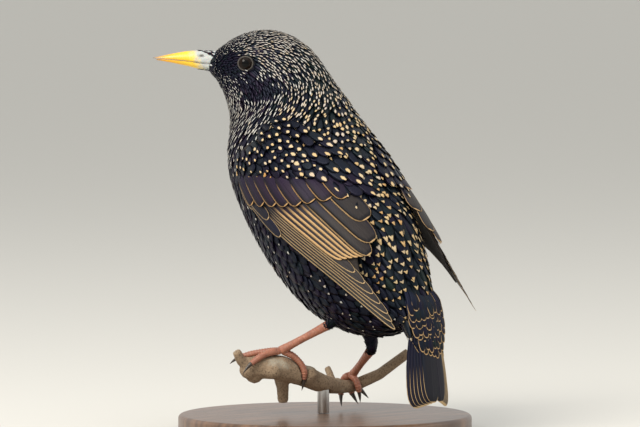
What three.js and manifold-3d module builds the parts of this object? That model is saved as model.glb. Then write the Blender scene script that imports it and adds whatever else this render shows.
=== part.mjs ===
// A life-size common starling in winter plumage, gripping a short cut length of hedge branch
// that a small display stand holds. Millimetres, +Z up. The body faces -Y and the bird's left
// side is +X; its head is turned to its left. The origin is the middle of the base's underside.

import * as THREE from "three";
import { mergeVertices } from "three/addons/utils/BufferGeometryUtils.js";
import Module from "manifold-3d";

const wasm = await Module();
wasm.setup();

// Driving dimensions.
const gap = 0.3; // clearance between neighbouring nodes
const deg = Math.PI / 180;
const headTurn = 47 * deg; // how far the head is turned to the bird's left
const neckY = -22.1; // the upright line at x = 0 that the head turns about
const trunkPitch = 47 * deg; // how steeply the trunk's axis falls towards the tail
const sidePoints = 26; // points round each section of head, neck and torso
const sectionsPerStep = 1.5; // sections for each step of the body's table
const baseRadius = 60;
const baseHeight = 7;
const rodRadius = 2.4;

const v3 = (x, y, z) => new THREE.Vector3(x, y, z);
const mix = (a, b, t) => a + (b - a) * t;
const clamp = (value, low, high) => Math.min(high, Math.max(low, value));
const middleOf = (points) =>
  points.reduce((sum, point) => sum.add(point), v3(0, 0, 0)).divideScalar(points.length);

// Smooth value from a list of evenly spaced entries, at a place counted in entries.
function splined(list, place) {
  const at = clamp(place, 0, list.length - 1);
  const i = Math.min(Math.floor(at), list.length - 2);
  const t = at - i;
  const p0 = list[Math.max(i - 1, 0)];
  const p1 = list[i];
  const p2 = list[i + 1];
  const p3 = list[Math.min(i + 2, list.length - 1)];
  const slope1 = (p2 - p0) / 2;
  const slope2 = (p3 - p1) / 2;
  const t2 = t * t;
  const t3 = t2 * t;
  return (
    p1 * (2 * t3 - 3 * t2 + 1) + slope1 * (t3 - 2 * t2 + t) + p2 * (3 * t2 - 2 * t3) + slope2 * (t3 - t2)
  );
}

// Value read from pairs of place and value, straight between them.
function fromTable(pairs, place) {
  let i = 0;
  while (i < pairs.length - 2 && place > pairs[i + 1][0]) i++;
  const [p, a] = pairs[i];
  const [q, b] = pairs[i + 1];
  return mix(a, b, clamp((place - p) / (q - p), -0.3, 1.3));
}

// Closed shape from points and triangles, with its faces turned outward.
function closedShape(points, triangles) {
  const volume = triangles.reduce(
    (sum, [i, j, k]) => sum + points[i].dot(v3().crossVectors(points[j], points[k])),
    0,
  );
  const order = volume < 0 ? triangles.map(([i, j, k]) => [i, k, j]) : triangles;
  const geometry = new THREE.BufferGeometry();
  geometry.setAttribute("position", new THREE.Float32BufferAttribute(points.flatMap((p) => p.toArray()), 3));
  geometry.setIndex(order.flat());
  return geometry;
}

// Closed shape through a row of rings with the same number of points.
function loft(rings) {
  const count = rings[0].length;
  const last = rings.length - 1;
  const points = rings.flat();
  const triangles = [];
  for (let row = 0; row < last; row++) {
    for (let i = 0; i < count; i++) {
      const a = row * count + i;
      const b = row * count + ((i + 1) % count);
      triangles.push([a, b, a + count], [b, b + count, a + count]);
    }
  }
  for (const row of [0, last]) {
    const middle = points.length;
    points.push(middleOf(rings[row]));
    for (let i = 0; i < count; i++) {
      const a = row * count + i;
      const b = row * count + ((i + 1) % count);
      triangles.push(row === 0 ? [middle, b, a] : [middle, a, b]);
    }
  }
  return closedShape(points, triangles);
}

// Closed sheet between a grid of upper points and the matching grid of lower points.
function sheet(upper, lower) {
  const rows = upper.length;
  const across = upper[0].length;
  const points = [...upper.flat(), ...lower.flat()];
  const top = (r, j) => r * across + j;
  const under = (r, j) => rows * across + r * across + j;
  const triangles = [];
  for (let r = 0; r < rows - 1; r++) {
    for (let j = 0; j < across - 1; j++) {
      triangles.push([top(r, j), top(r, j + 1), top(r + 1, j)]);
      triangles.push([top(r, j + 1), top(r + 1, j + 1), top(r + 1, j)]);
      triangles.push([under(r, j), under(r + 1, j), under(r, j + 1)]);
      triangles.push([under(r, j + 1), under(r + 1, j), under(r + 1, j + 1)]);
    }
    const e = across - 1;
    triangles.push([top(r, 0), top(r + 1, 0), under(r, 0)], [top(r + 1, 0), under(r + 1, 0), under(r, 0)]);
    triangles.push([top(r + 1, e), top(r, e), under(r, e)], [top(r + 1, e), under(r, e), under(r + 1, e)]);
  }
  const n = rows - 1;
  for (let j = 0; j < across - 1; j++) {
    triangles.push([top(0, j + 1), top(0, j), under(0, j)], [top(0, j + 1), under(0, j), under(0, j + 1)]);
    triangles.push([top(n, j), top(n, j + 1), under(n, j)], [top(n, j + 1), under(n, j + 1), under(n, j)]);
  }
  return closedShape(points, triangles);
}

// Round rod through a row of places, each with its own radius.
function tube(path, radii, sides = 8, flatten = 1, up = v3(0, 0, 1)) {
  const rings = path.map((place, i) => {
    const before = path[Math.max(i - 1, 0)];
    const after = path[Math.min(i + 1, path.length - 1)];
    const run = v3().subVectors(after, before).normalize();
    const side = v3().crossVectors(run, up).normalize();
    const rise = v3().crossVectors(side, run);
    return Array.from({ length: sides }, (_, k) => {
      const turn = (2 * Math.PI * k) / sides;
      return place
        .clone()
        .addScaledVector(side, radii[i] * Math.cos(turn))
        .addScaledVector(rise, radii[i] * flatten * Math.sin(turn));
    });
  });
  return loft(rings);
}

// Ball or egg at a place, with its own radius along x, y and z.
function ball(place, rx, ry = rx, rz = rx, detail = 2) {
  const geometry = new THREE.IcosahedronGeometry(1, detail);
  geometry.scale(rx, ry, rz);
  geometry.translate(place.x, place.y, place.z);
  return mergeVertices(positionsOnly(geometry));
}

function positionsOnly(geometry) {
  const bare = new THREE.BufferGeometry();
  bare.setAttribute("position", geometry.getAttribute("position"));
  if (geometry.index) bare.setIndex(geometry.index);
  return bare;
}

function solidOf(geometry) {
  const bare = mergeVertices(positionsOnly(geometry), 1e-5);
  return new wasm.Manifold(
    new wasm.Mesh({
      numProp: 3,
      vertProperties: new Float32Array(bare.getAttribute("position").array),
      triVerts: new Uint32Array(bare.index.array),
    }),
  );
}

function geometryOf(solid) {
  const mesh = solid.getMesh();
  const geometry = new THREE.BufferGeometry();
  geometry.setAttribute("position", new THREE.Float32BufferAttribute(Array.from(mesh.vertProperties), 3));
  geometry.setIndex(Array.from(mesh.triVerts));
  return geometry;
}

// The largest closed body of a joined or cut shape.
function largest(solid) {
  const bodies = solid.decompose();
  return bodies.reduce((best, body) => (body.volume() > best.volume() ? body : best));
}

const joined = (shapes) => largest(wasm.Manifold.union(shapes.map(solidOf)));
const cutBy = (solid, shapes) => largest(wasm.Manifold.difference([solid, ...shapes.map(solidOf)]));

const group = new THREE.Group();
group.name = "starling";

function addNode(name, geometry, color, roughness, metalness = 0) {
  const mesh = new THREE.Mesh(geometry, new THREE.MeshStandardMaterial({ color, roughness, metalness }));
  mesh.name = name;
  group.add(mesh);
}

const plumage = 0x17171c;
const horn = 0xe2b22c;
const legSkin = 0xa8624a;

// Head, neck and torso: one row of flat sections. Each row of the table gives how much of the
// head's turn the section takes, its upper and lower point (forward of the neck's line, height),
// its half width, and how much fuller than an ellipse it is above and below.
const bodyTable = [
  [1, 31.0, 153.8, 33.0, 146.5, 4.0, 0, 0],
  [1, 26.9, 156.9, 30.8, 144.6, 6.2, 0, 0],
  [1, 21.2, 160.7, 29.0, 142.4, 8.4, 0, 0],
  [1, 14.7, 163.0, 27.7, 139.9, 10.0, 0, 0],
  [1, 8.2, 163.6, 26.7, 137.9, 11.2, 0, 0],
  [1, 1.2, 162.4, 25.9, 135.9, 12.4, 0, 0],
  [1, -5.3, 159.1, 25.3, 133.8, 13.8, 0, 0],
  [1, -11.0, 154.2, 24.7, 131.4, 15.4, 0, 0],
  [1, -15.5, 148.1, 24.1, 128.5, 17.0, 0, 0],
  [0.8, -20.0, 141.6, 24.2, 124.6, 19.3, 0, 0],
  [0.55, -25.2, 135.4, 24.8, 119.5, 22.0, 0.03, 0.02],
  [0.3, -30.6, 129.2, 25.2, 111.6, 24.8, 0.08, 0.06],
  [0.12, -38.2, 122.2, 23.2, 102.4, 26.2, 0.1, 0.12],
  [0, -46.4, 114.7, 17.2, 90.4, 26.4, 0.08, 0.14],
  [0, -55.2, 105.1, 7.0, 75.0, 26.2, 0.05, 0.13],
  [0, -62.2, 96.5, -6.5, 59.5, 25.0, 0.02, 0.11],
  [0, -69.0, 87.3, -22.6, 47.2, 22.4, 0, 0.08],
  [0, -75.4, 73.7, -40.5, 41.0, 18.0, 0, 0.05],
  [0, -79.3, 62.5, -57.0, 40.5, 13.0, 0, 0],
  [0, -81.8, 53.0, -68.5, 44.5, 8.5, 0, 0],
];
const neckStart = 8;
const torsoStart = 11;
const torsoEnd = bodyTable.length - 1;

// Place in the head's own directions: forward, to its left, and height.
function turned(forward, left, height, share = 1) {
  const turn = headTurn * share;
  return v3(
    forward * Math.sin(turn) + left * Math.cos(turn),
    neckY - forward * Math.cos(turn) + left * Math.sin(turn),
    height,
  );
}

function bodyRing(place, grow = 0) {
  const column = (k) => splined(bodyTable.map((row) => row[k]), place);
  const [share, upF, upZ, lowF, lowZ, half, above, below] = [0, 1, 2, 3, 4, 5, 6, 7].map(column);
  const length = Math.hypot(upF - lowF, upZ - lowZ) / 2;
  const swell = (length + grow) / length;
  return Array.from({ length: sidePoints }, (_, k) => {
    const turn = (2 * Math.PI * k) / sidePoints;
    const reach = Math.cos(turn) * swell;
    const forward = (upF + lowF) / 2 + ((upF - lowF) / 2) * reach;
    const height = (upZ + lowZ) / 2 + ((upZ - lowZ) / 2) * reach;
    const fuller = 1 + (Math.cos(turn) > 0 ? above : below) * Math.abs(Math.sin(2 * turn));
    return turned(forward, (half + grow) * fuller * Math.sin(turn), height, clamp(share, 0, 1));
  });
}

function bodyPiece(from, to, grow = 0) {
  const steps = Math.ceil((to - from) * sectionsPerStep);
  return loft(Array.from({ length: steps + 1 }, (_, i) => bodyRing(mix(from, to, i / steps), grow)));
}

const neckGap = 0.09;
const torsoShape = bodyPiece(torsoStart + neckGap, torsoEnd);
const torsoGrown = bodyPiece(torsoStart - 1, torsoEnd, gap + 0.2);

// Eyes, with the lids' raised rims. The eyeball stands out of the head a little.
const eyeForward = 17.4;
const eyeHeight = 150.1;
const eyeRadius = 3.4;
const eyeMiddle = (side) => turned(eyeForward, side * 9.1, eyeHeight);

function lidRim(side) {
  const outward = turned(0, side, 0).sub(turned(0, 0, 0));
  const ahead = turned(1, 0, 0).sub(turned(0, 0, 0));
  const middle = eyeMiddle(side).addScaledVector(outward, 1.85);
  const rings = Array.from({ length: 17 }, (_, i) => {
    const turn = (2 * Math.PI * i) / 16;
    const reach = ahead.clone().multiplyScalar(Math.cos(turn)).add(v3(0, 0, Math.sin(turn)));
    const place = middle.clone().addScaledVector(reach, 3.1);
    return Array.from({ length: 6 }, (_, k) => {
      const roll = (2 * Math.PI * k) / 6;
      return place
        .clone()
        .addScaledVector(reach, 0.6 * Math.cos(roll))
        .addScaledVector(outward, 0.75 * Math.sin(roll));
    });
  });
  const rim = new THREE.BufferGeometry();
  const corners = [];
  for (let i = 0; i < 16; i++) {
    for (let k = 0; k < 6; k++) {
      const next = (k + 1) % 6;
      const [a, b, c, d] = [rings[i][k], rings[i][next], rings[i + 1][k], rings[i + 1][next]];
      corners.push(...(side > 0 ? [a, b, c, b, d, c] : [a, c, b, b, c, d]));
    }
  }
  rim.setAttribute("position", new THREE.Float32BufferAttribute(corners.flatMap((p) => p.toArray()), 3));
  return rim;
}

// Line of the mouth, carried back from the bill's corner into the face.
function mouthLine(side) {
  const rings = [
    [33.5, 149.6, 0.45],
    [29.5, 149.0, 0.4],
    [26.6, 148.2, 0.15],
  ].map(([forward, height, half]) => [
    turned(forward, side * 9, height + half),
    turned(forward, side * 9, height - half),
    turned(forward, side * mix(3.0, 6.3, (33.5 - forward) / 7), height - half * 0.3),
    turned(forward, side * mix(3.0, 6.3, (33.5 - forward) / 7), height + half * 0.3),
  ]);
  return loft(rings);
}

// The head's front is cut square a little behind the bill's base.
{
  const skull = joined([bodyPiece(0, neckStart - neckGap), lidRim(1), lidRim(-1)]);
  const socket = (side) => ball(eyeMiddle(side), eyeRadius + gap);
  addNode("head", geometryOf(cutBy(skull, [socket(1), socket(-1), mouthLine(1), mouthLine(-1)])), plumage, 0.7);
}
addNode("neck", bodyPiece(neckStart, torsoStart), plumage, 0.7);

// Bill. Each row: forward, upper edge, lower edge, half width; bases follow the head's front.
const billFace = (height) => 31.0 + (153.8 - height) * 0.274 + gap;
function billHalf(rows, upperHalf) {
  const rings = rows.map(([forward, high, low, half], row) =>
    Array.from({ length: 12 }, (_, k) => {
      const turn = (2 * Math.PI * k) / 12;
      const round = Math.sin(turn);
      const towards = upperHalf ? Math.max(round, 0) ** 0.85 : 1 - Math.max(-round, 0) ** 0.85;
      const height = mix(low, high, towards);
      const wide = half * Math.cos(turn) * (round * (upperHalf ? 1 : -1) < 0 ? 1 : 0.94);
      return turned(row === 0 ? billFace(height) : forward, wide, height);
    }),
  );
  return loft(rings);
}
const upperBill = billHalf(
  [
    [31.5, 154.7, 149.8, 3.5],
    [35.9, 155.1, 150.2, 3.4],
    [41.0, 154.9, 150.9, 2.8],
    [46.1, 154.1, 151.4, 2.1],
    [51.0, 153.1, 151.8, 1.3],
    [54.3, 152.4, 151.9, 0.7],
    [55.5, 152.2, 152.0, 0.25],
  ],
  true,
);
const nostril = (side) =>
  tube(
    [turned(33.6, side * 3.0, 153.1), turned(35.2, side * 2.9, 153.0), turned(36.8, side * 2.75, 152.9)],
    [0.25, 0.6, 0.2],
    6,
    1,
  );
addNode("bill_upper", geometryOf(cutBy(solidOf(upperBill), [nostril(1), nostril(-1)])), horn, 0.35);
addNode(
  "bill_lower",
  billHalf(
    [
      [31.5, 149.4, 146.7, 3.3],
      [35.5, 149.8, 147.3, 3.1],
      [40.0, 150.5, 148.4, 2.6],
      [45.0, 151.0, 149.5, 1.9],
      [50.0, 151.4, 150.5, 1.2],
      [54.0, 151.6, 151.2, 0.35],
    ],
    false,
  ),
  horn,
  0.35,
);
for (const side of [1, -1]) {
  addNode(side > 0 ? "eye_left" : "eye_right", ball(eyeMiddle(side), eyeRadius), 0x241a12, 0.1);
}

// Wings. They lie on a barrel round the trunk's axis. A place on the wing is given by how far
// it lies behind the wrist, how far up from the lower edge, and how far out from the barrel.
const trunkMiddle = v3(0, 2, 90);
const tailward = v3(0, Math.cos(trunkPitch), -Math.sin(trunkPitch));
const backward = v3(0, Math.sin(trunkPitch), Math.cos(trunkPitch));
const barrel = [[-40, 26.5], [-28, 29.8], [-10, 32.2], [10, 33], [30, 32.2], [50, 29.8], [76, 26], [90, 25]];
const sweep = 18 * deg;
const rightRaise = 5 * deg; // the right wing is held a little higher than the left,
const rightLift = 9 * deg; // and more so towards its tip

function onWing(side, a, b, out) {
  const s = -28 + a * Math.cos(sweep) - b * Math.sin(sweep);
  const spread = side < 0 ? clamp(a / 106, 0, 1.1) : 0;
  const raise = side < 0 ? rightRaise + rightLift * spread : 0;
  const turn = 118 * deg - (a * Math.sin(sweep) + b * Math.cos(sweep)) / 29 - raise;
  const reach = fromTable(barrel, s) + out + 1.5 * spread + 4 * spread ** 3;
  return trunkMiddle
    .clone()
    .addScaledVector(tailward, s)
    .addScaledVector(backward, reach * Math.cos(turn))
    .add(v3(side * reach * Math.sin(turn), 0, 0));
}

// One feather of the wing: a vane from its root to its rounded tip. Its lower edge stands out
// over the next feather, its upper edge is tucked under the one above.
const vaneSteps = [
  [0, 0.6],
  [0.35, 0.95],
  [0.72, 1],
  [0.93, 0.72],
  [1, 0.3],
];
function wingFeather(side, [a0, b0, a1, b1, half], level, depth, across) {
  const length = Math.hypot(a1 - a0, b1 - b0);
  const run = [(a1 - a0) / length, (b1 - b0) / length];
  const grid = (under) =>
    vaneSteps.map(([t, width]) =>
      Array.from({ length: across }, (_, j) => {
        const off = mix(-1, 1, j / (across - 1));
        const a = mix(a0, a1, t) - run[1] * off * half * width;
        const b = mix(b0, b1, t) + run[0] * off * half * width + Math.sin(Math.PI * t) * length * 0.012;
        const slope = level - 0.32 * off;
        return onWing(side, a, b, under ? level - depth : slope);
      }),
    );
  return sheet(grid(false), grid(true));
}

// Root (a, b), tip (a, b) and half width of every feather.
const primaries = [
  [7, 1.0, 106, -1.0, 2.0],
  [9, 2.0, 103, 0.7, 2.2],
  [11, 3.2, 99.6, 2.2, 2.3],
  [13, 4.2, 94.5, 3.3, 2.3],
  [15, 5.2, 89.6, 4.5, 2.3],
  [17, 6.2, 84.2, 5.6, 2.3],
  [19, 7.2, 78.0, 6.6, 2.3],
];
const secondaries = [
  [22, 8.6, 70.5, 7.4, 2.3],
  [25, 10.4, 72.0, 9.0, 2.3],
  [28, 12.4, 73.6, 10.6, 2.4],
  [31, 14.4, 75.2, 12.2, 2.5],
  [34, 16.6, 76.6, 13.8, 2.7],
];
const tertials = [
  [36, 19.0, 78.4, 15.8, 3.6],
  [40, 23.0, 75.3, 20.8, 4.2],
  [42, 27.5, 66.5, 26.0, 4.5],
];
const handCoverts = [
  [3, 1.6, 18.8, 0.4, 1.9],
  [5, 2.8, 30.0, 2.2, 2.1],
  [7, 2.0, 39.9, -0.2, 2.0],
];
const greaterCoverts = [
  [3, 6.5, 18.7, 2.4, 2.5],
  [7, 10.0, 25.0, 5.6, 2.6],
  [12, 13.2, 31.0, 8.8, 2.7],
  [18, 15.8, 36.2, 11.6, 2.8],
  [24, 18.2, 41.0, 14.6, 2.9],
  [30, 21.4, 45.0, 18.4, 3.0],
  [35, 25.2, 49.6, 22.6, 3.1],
  [39, 29.2, 54.0, 27.2, 3.2],
];

// The wing's flesh under the feathers: lengths, lower and upper border, and heights.
function wingCore(side) {
  const rows = [
    [-3, 6, 14], [2, 1.5, 23], [10, 0.3, 30], [20, 0.2, 33.5], [34, 0.2, 35], [48, 0.2, 34.5],
    [60, 0.2, 30], [70, 0.2, 24], [80, 0.4, 12.5], [90, 0.9, 6.0], [97, 1.2, 3.6],
  ];
  const grid = (under) =>
    rows.map(([a, low, high], r) =>
      Array.from({ length: 7 }, (_, j) => {
        const b = mix(low, high, j / 6);
        const edge = r === 0 || j === 0 || j === 6 ? 0.5 : 0;
        const top = -2.95 + 1.3 * clamp((b - 6) / 12, 0, 1);
        return onWing(side, a, b, under ? -4.1 + edge * 0.4 : top - edge);
      }),
    );
  return sheet(grid(false), grid(true));
}

// The small coverts of the arm: a low smooth swelling from the wrist to the shoulder.
function wingArm(side) {
  const rows = [[-4, 7.5, 13], [1, 5.5, 20], [8, 8, 27], [18, 14, 32], [28, 19, 34.5], [38, 25, 35.5], [46, 30, 35]];
  const grid = (under) =>
    rows.map(([a, low, high], r) =>
      Array.from({ length: 5 }, (_, j) => {
        const b = mix(low, high, j / 4);
        const rise = Math.sin((Math.PI * j) / 4) * Math.sin((Math.PI * (r + 0.6)) / (rows.length + 0.2));
        return onWing(side, a, b, under ? -2.6 : -1.5 + 1.5 * Math.sqrt(rise));
      }),
    );
  return sheet(grid(false), grid(true));
}

for (const side of [1, -1]) {
  const wing = joined([
    wingCore(side),
    wingArm(side),
    ...primaries.map((row) => wingFeather(side, row, -2.35, 0.85, 2)),
    ...secondaries.map((row) => wingFeather(side, row, -1.8, 0.85, 2)),
    ...tertials.map((row) => wingFeather(side, row, -1.15, 0.9, 3)),
    ...handCoverts.map((row) => wingFeather(side, row, -1.75, 1.4, 2)),
    ...greaterCoverts.map((row) => wingFeather(side, row, -0.75, 1.3, 2)),
  ]);
  addNode(side > 0 ? "wing_left" : "wing_right", geometryOf(cutBy(wing, [torsoGrown])), plumage, 0.55);
}

// Tail: twelve feathers fanned one under the other below a middle pair, with the coverts over
// and under their roots. Places are given along the tail, to the side, and out from its back.
const tailBack = [[0, 60.2, 51.4], [0.3, 62.7, 41.5], [0.65, 64.6, 29.5], [1, 66.2, 14.2]];
function onTail(t, x, out) {
  const at = (k) => fromTable(tailBack.map((row) => [row[0], row[k]]), t);
  const next = (k) => fromTable(tailBack.map((row) => [row[0], row[k]]), t + 0.02);
  const run = v3(0, next(1) - at(1), next(2) - at(2)).normalize();
  const rise = v3(0, -run.z, run.y);
  return v3(x, at(1), at(2)).addScaledVector(rise, out - 0.02 * x * x);
}

function tailFeather(root, tip, from, to, half, level, thick) {
  const steps = [[0, 0.75], [0.4, 0.95], [0.85, 1], [0.96, 0.75], [1, 0.35]];
  const grid = (under) =>
    steps.map(([t, width]) =>
      [-1, 1].map((off) =>
        onTail(mix(from, to, t), mix(root, tip, t) + off * half * width, level - (under ? thick : 0)),
      ),
    );
  return sheet(grid(false), grid(true));
}

{
  const ring = bodyRing(torsoEnd);
  const onward = v3().crossVectors(v3().subVectors(ring[0], ring[sidePoints / 2]), v3(1, 0, 0)).normalize();
  const start = ring.map((point) => point.clone().addScaledVector(onward, gap));
  const flat = (t, half, high, low) =>
    Array.from({ length: sidePoints }, (_, k) => {
      const turn = (2 * Math.PI * k) / sidePoints;
      return onTail(t, half * Math.sin(turn), mix(low, high, (1 + Math.cos(turn)) / 2));
    });
  const core = loft([start, flat(0.2, 8.6, -0.6, -8.5), flat(0.45, 8.2, -0.8, -4.6), flat(0.75, 6.5, -1.2, -3.6)]);
  const pieces = [core];
  for (const side of [1, -1]) {
    for (let i = 0; i < 6; i++) {
      const root = side * (1.2 + 0.7 * i);
      const tip = side * (2.2 + 1.2 * i);
      pieces.push(tailFeather(root, tip, 0.12, 0.965 + 0.007 * i, 4.0, -0.5 * i + (side > 0 ? 0.12 : 0), 0.65));
    }
    pieces.push(tailFeather(side * 3.6, side * 4.6, 0.02, 0.36, 2.6, 0.7, 1.6));
    pieces.push(tailFeather(side * 6.0, side * 7.4, 0.02, 0.3, 2.2, 0.9, 2.4));
  }
  pieces.push(tailFeather(0, 0, 0.02, 0.44, 2.8, 0.9, 1.6));
  addNode("tail", geometryOf(joined(pieces)), plumage, 0.55);
}

// Legs. Each has its ankle, the foot's middle where the toes meet, and its toes.
const along = (from, to, share) => v3().lerpVectors(from, to, share);
const legs = {
  left: { ankle: v3(10, 20, 47.7), foot: v3(22, -2.8, 33.9), cover: 0.27 },
  right: { ankle: v3(-8, 19.3, 34.2), foot: v3(-19.3, -4.6, 21.2), cover: 0.14 },
};

function tarsus({ ankle, foot, cover }) {
  const from = along(ankle, foot, cover);
  const to = along(ankle, foot, 0.95);
  const shares = [0, 0.15, 0.5, 0.85, 1];
  return tube(shares.map((t) => along(from, to, t)), [1.75, 1.5, 1.3, 1.4, 1.75], 10, 1.15);
}

function legFeathers({ ankle, foot, cover }, root, reach) {
  const end = along(ankle, foot, cover).add(v3().subVectors(ankle, foot).normalize().multiplyScalar(gap));
  const path = [end, along(ankle, foot, cover - 0.12), along(ankle, root, 0.12), along(ankle, root, 0.5), root];
  return tube(path, [2.0, 2.5, 3.8, reach * 0.85, reach], 12, 1, v3(1, 0, 0));
}

addNode("tarsus_left", tarsus(legs.left), legSkin, 0.5);
addNode("tarsus_right", tarsus(legs.right), legSkin, 0.5);
const thighLeft = legFeathers(legs.left, v3(11, 12, 60), 6);
const thighRight = legFeathers(legs.right, v3(-9, 15, 56), 7);
const tarsusGrown = (leg) =>
  tube([along(leg.ankle, leg.foot, leg.cover - 0.02), along(leg.ankle, leg.foot, 1)], [2.3, 2.3], 10);
const torso = cutBy(solidOf(torsoShape), [tarsusGrown(legs.left)]);
addNode("torso", geometryOf(torso), plumage, 0.7);
addNode("thigh_left", geometryOf(cutBy(solidOf(thighLeft), [torsoGrown])), plumage, 0.7);
addNode("thigh_right", geometryOf(cutBy(solidOf(thighRight), [torsoGrown])), plumage, 0.7);

// Perch: the cut branch runs from a knobby pruned stub under the left foot down to the rod and
// up again as a thinner twig under the right foot.
const limb = [
  v3(33, -14, 28.0), v3(27, -8.5, 27.6), v3(21, -3.5, 26.8), v3(12, -1, 23.5), v3(0, -1, 19.2),
  v3(-10, -3, 17.4), v3(-19.3, -3.6, 17.2), v3(-28, 3, 22), v3(-36, 12, 31),
];
const limbRadii = [4.3, 5.4, 5.2, 4.6, 4.0, 3.1, 2.7, 2.4, 2.1];

// Toes: each a row of places from the foot's middle; the last is where the claw begins.
const toeRadii = [1.55, 1.5, 1.3, 1.4, 1.05];
const leftFoot = legs.left.foot;
const leftToe = (yaw, length, drop) => {
  const run = v3(Math.cos(yaw), Math.sin(yaw), 0);
  return [0, 0.28, 0.55, 0.8, 1].map((t) =>
    leftFoot.clone().addScaledVector(run, 0.5 + length * t).add(v3(0, 0, -0.2 - drop * t ** 2.2)),
  );
};
// Toe wound round the twig under the right foot, by angles from the twig's top.
const twigMiddle = v3(-19.3, -3.9, 17.2);
const twigRun = v3(-18, 6, 4.6).normalize();
const rightToe = (start, end, shift, spread) =>
  [0, 0.25, 0.5, 0.75, 1].map((t) => {
    const turn = mix(start, end, t) * deg;
    const reach = 2.75 + 1.35 + gap + 0.15;
    const ahead = v3().crossVectors(v3(0, 0, 1), twigRun).normalize();
    const rise = v3().crossVectors(twigRun, ahead).normalize();
    return twigMiddle
      .clone()
      .addScaledVector(twigRun, shift + spread * t)
      .addScaledVector(ahead, Math.sin(turn) * reach)
      .addScaledVector(rise, Math.abs(rise.z) / rise.z * Math.cos(turn) * reach);
  });
const toes = {
  left: [
    leftToe(-72 * deg, 12.5, 3.4),
    leftToe(-45 * deg, 15.5, 2.4),
    leftToe(-16 * deg, 12.5, 4.4),
    [
      leftFoot.clone().add(v3(-1, 0.5, -0.4)), leftFoot.clone().add(v3(-4.2, 2.6, -2.2)),
      leftFoot.clone().add(v3(-7.0, 4.4, -5.4)), leftFoot.clone().add(v3(-8.2, 5.2, -8.6)),
      leftFoot.clone().add(v3(-8.6, 4.6, -11.4)),
    ],
  ],
  right: [
    rightToe(10, 125, 0.6, 3.8), rightToe(10, 140, 0, 0.2),
    rightToe(10, 125, -0.6, -3.8), rightToe(-10, -115, 0, 0.4),
  ],
};

function claw(toe, grow = 0) {
  const end = toe[toe.length - 1];
  const run = v3().subVectors(end, toe[toe.length - 2]).normalize();
  const bend = v3().subVectors(run, v3().subVectors(toe[1], toe[0]).normalize());
  const hook = bend.length() > 0.9 ? bend.normalize().multiplyScalar(0.45) : v3(0, 0, -0.75);
  const path = [-2 * grow, 1.5, 3.1, 4.5 + 2 * grow].map((d) =>
    end.clone().addScaledVector(run, gap + 0.12 + d).addScaledVector(hook, (d / 5) ** 2 * 2.4),
  );
  return tube(path, [0.85, 0.8, 0.5, 0.12].map((r) => r + grow), 6, 1.1);
}

const grownToes = [];
for (const side of ["left", "right"]) {
  const foot = legs[side].foot;
  const shape = joined([
    ball(foot.clone().add(v3(0, 0, -0.3)), 2.1, 2.1, 1.7, 1),
    ...toes[side].map((toe) => tube(toe, toeRadii, 8, 0.95)),
  ]);
  const legEnd = tube([along(legs[side].ankle, foot, 0.5), along(legs[side].ankle, foot, 0.965)], [2.3, 2.3], 10);
  addNode(`foot_${side}`, geometryOf(cutBy(shape, [legEnd])), legSkin, 0.5);
  toes[side].forEach((toe, i) => {
    addNode(`claw_${side}_${i + 1}`, claw(toe), 0x2a211d, 0.35);
    const beyond = toe[4].clone().add(v3().subVectors(toe[4], toe[3]).setLength(gap + 0.2));
    const wide = [...toeRadii, 1.05].map((r) => r + gap + 0.2);
    grownToes.push(tube([...toe, beyond], wide, 8, 0.95), claw(toe, gap + 0.1));
  });
  grownToes.push(ball(foot.clone().add(v3(0, 0, -0.3)), 2.6, 2.6, 2.2, 1));
}

const rodTop = 17.5;
const rodRing = (radius, z) =>
  Array.from({ length: 20 }, (_, k) =>
    v3(radius * Math.cos((2 * Math.PI * k) / 20), -1 + radius * Math.sin((2 * Math.PI * k) / 20), z),
  );
const knobs = [
  [31, -11.5, 26.2, 4.6, 4.4, 4.2], [25, -3.6, 26.0, 4.6, 4.4, 3.8], [16.5, -4.6, 25.0, 4.4, 4.4, 3.4],
  [28.5, -11.5, 24.4, 4.2, 4.0, 4.2], [9.5, 0.4, 23.6, 3.8, 4.3, 3.8], [-9.5, -3.2, 17.8, 3.6, 3.7, 3.5],
];
{
  const wood = joined([
    tube(limb, limbRadii, 10),
    tube([v3(20, -5, 24), v3(17, -7, 18), v3(15.5, -8.5, 12.4)], [3.4, 2.6, 2.3], 8, 1, v3(1, 0, 0)),
    tube([v3(-9, -3, 17), v3(-12, -9, 20.5), v3(-13.5, -13, 24.5)], [2.2, 1.7, 1.5], 7, 1, v3(1, 0, 0)),
    tube([v3(31, -11, 27), v3(35.5, -12, 30), v3(38, -12, 34)], [2.9, 2.2, 1.9], 7, 1, v3(1, 0, 0)),
    ...knobs.map(([x, y, z, rx, ry, rz]) => ball(v3(x, y, z), rx, ry, rz, 1)),
  ]);
  const pocket = loft([rodRing(rodRadius + gap, 5), rodRing(rodRadius + gap, rodTop + gap)]);
  addNode("perch", geometryOf(cutBy(wood, [pocket, ...grownToes])), 0x8d7355, 0.85);
}
addNode("stand_rod", loft([rodRing(rodRadius, baseHeight + gap), rodRing(rodRadius, rodTop)]), 0x9a9a98, 0.3, 1);

const baseRing = (radius, z) =>
  Array.from({ length: 40 }, (_, k) => {
    const turn = (2 * Math.PI * k) / 40;
    return v3(radius * Math.cos(turn), radius * Math.sin(turn), z);
  });
addNode(
  "stand_base",
  loft([
    baseRing(baseRadius - 0.6, 0), baseRing(baseRadius, 0.6),
    baseRing(baseRadius, baseHeight - 1.6), baseRing(baseRadius - 1.6, baseHeight),
  ]),
  0x6d4c33,
  0.4,
);

export default group;
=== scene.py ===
import math

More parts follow.
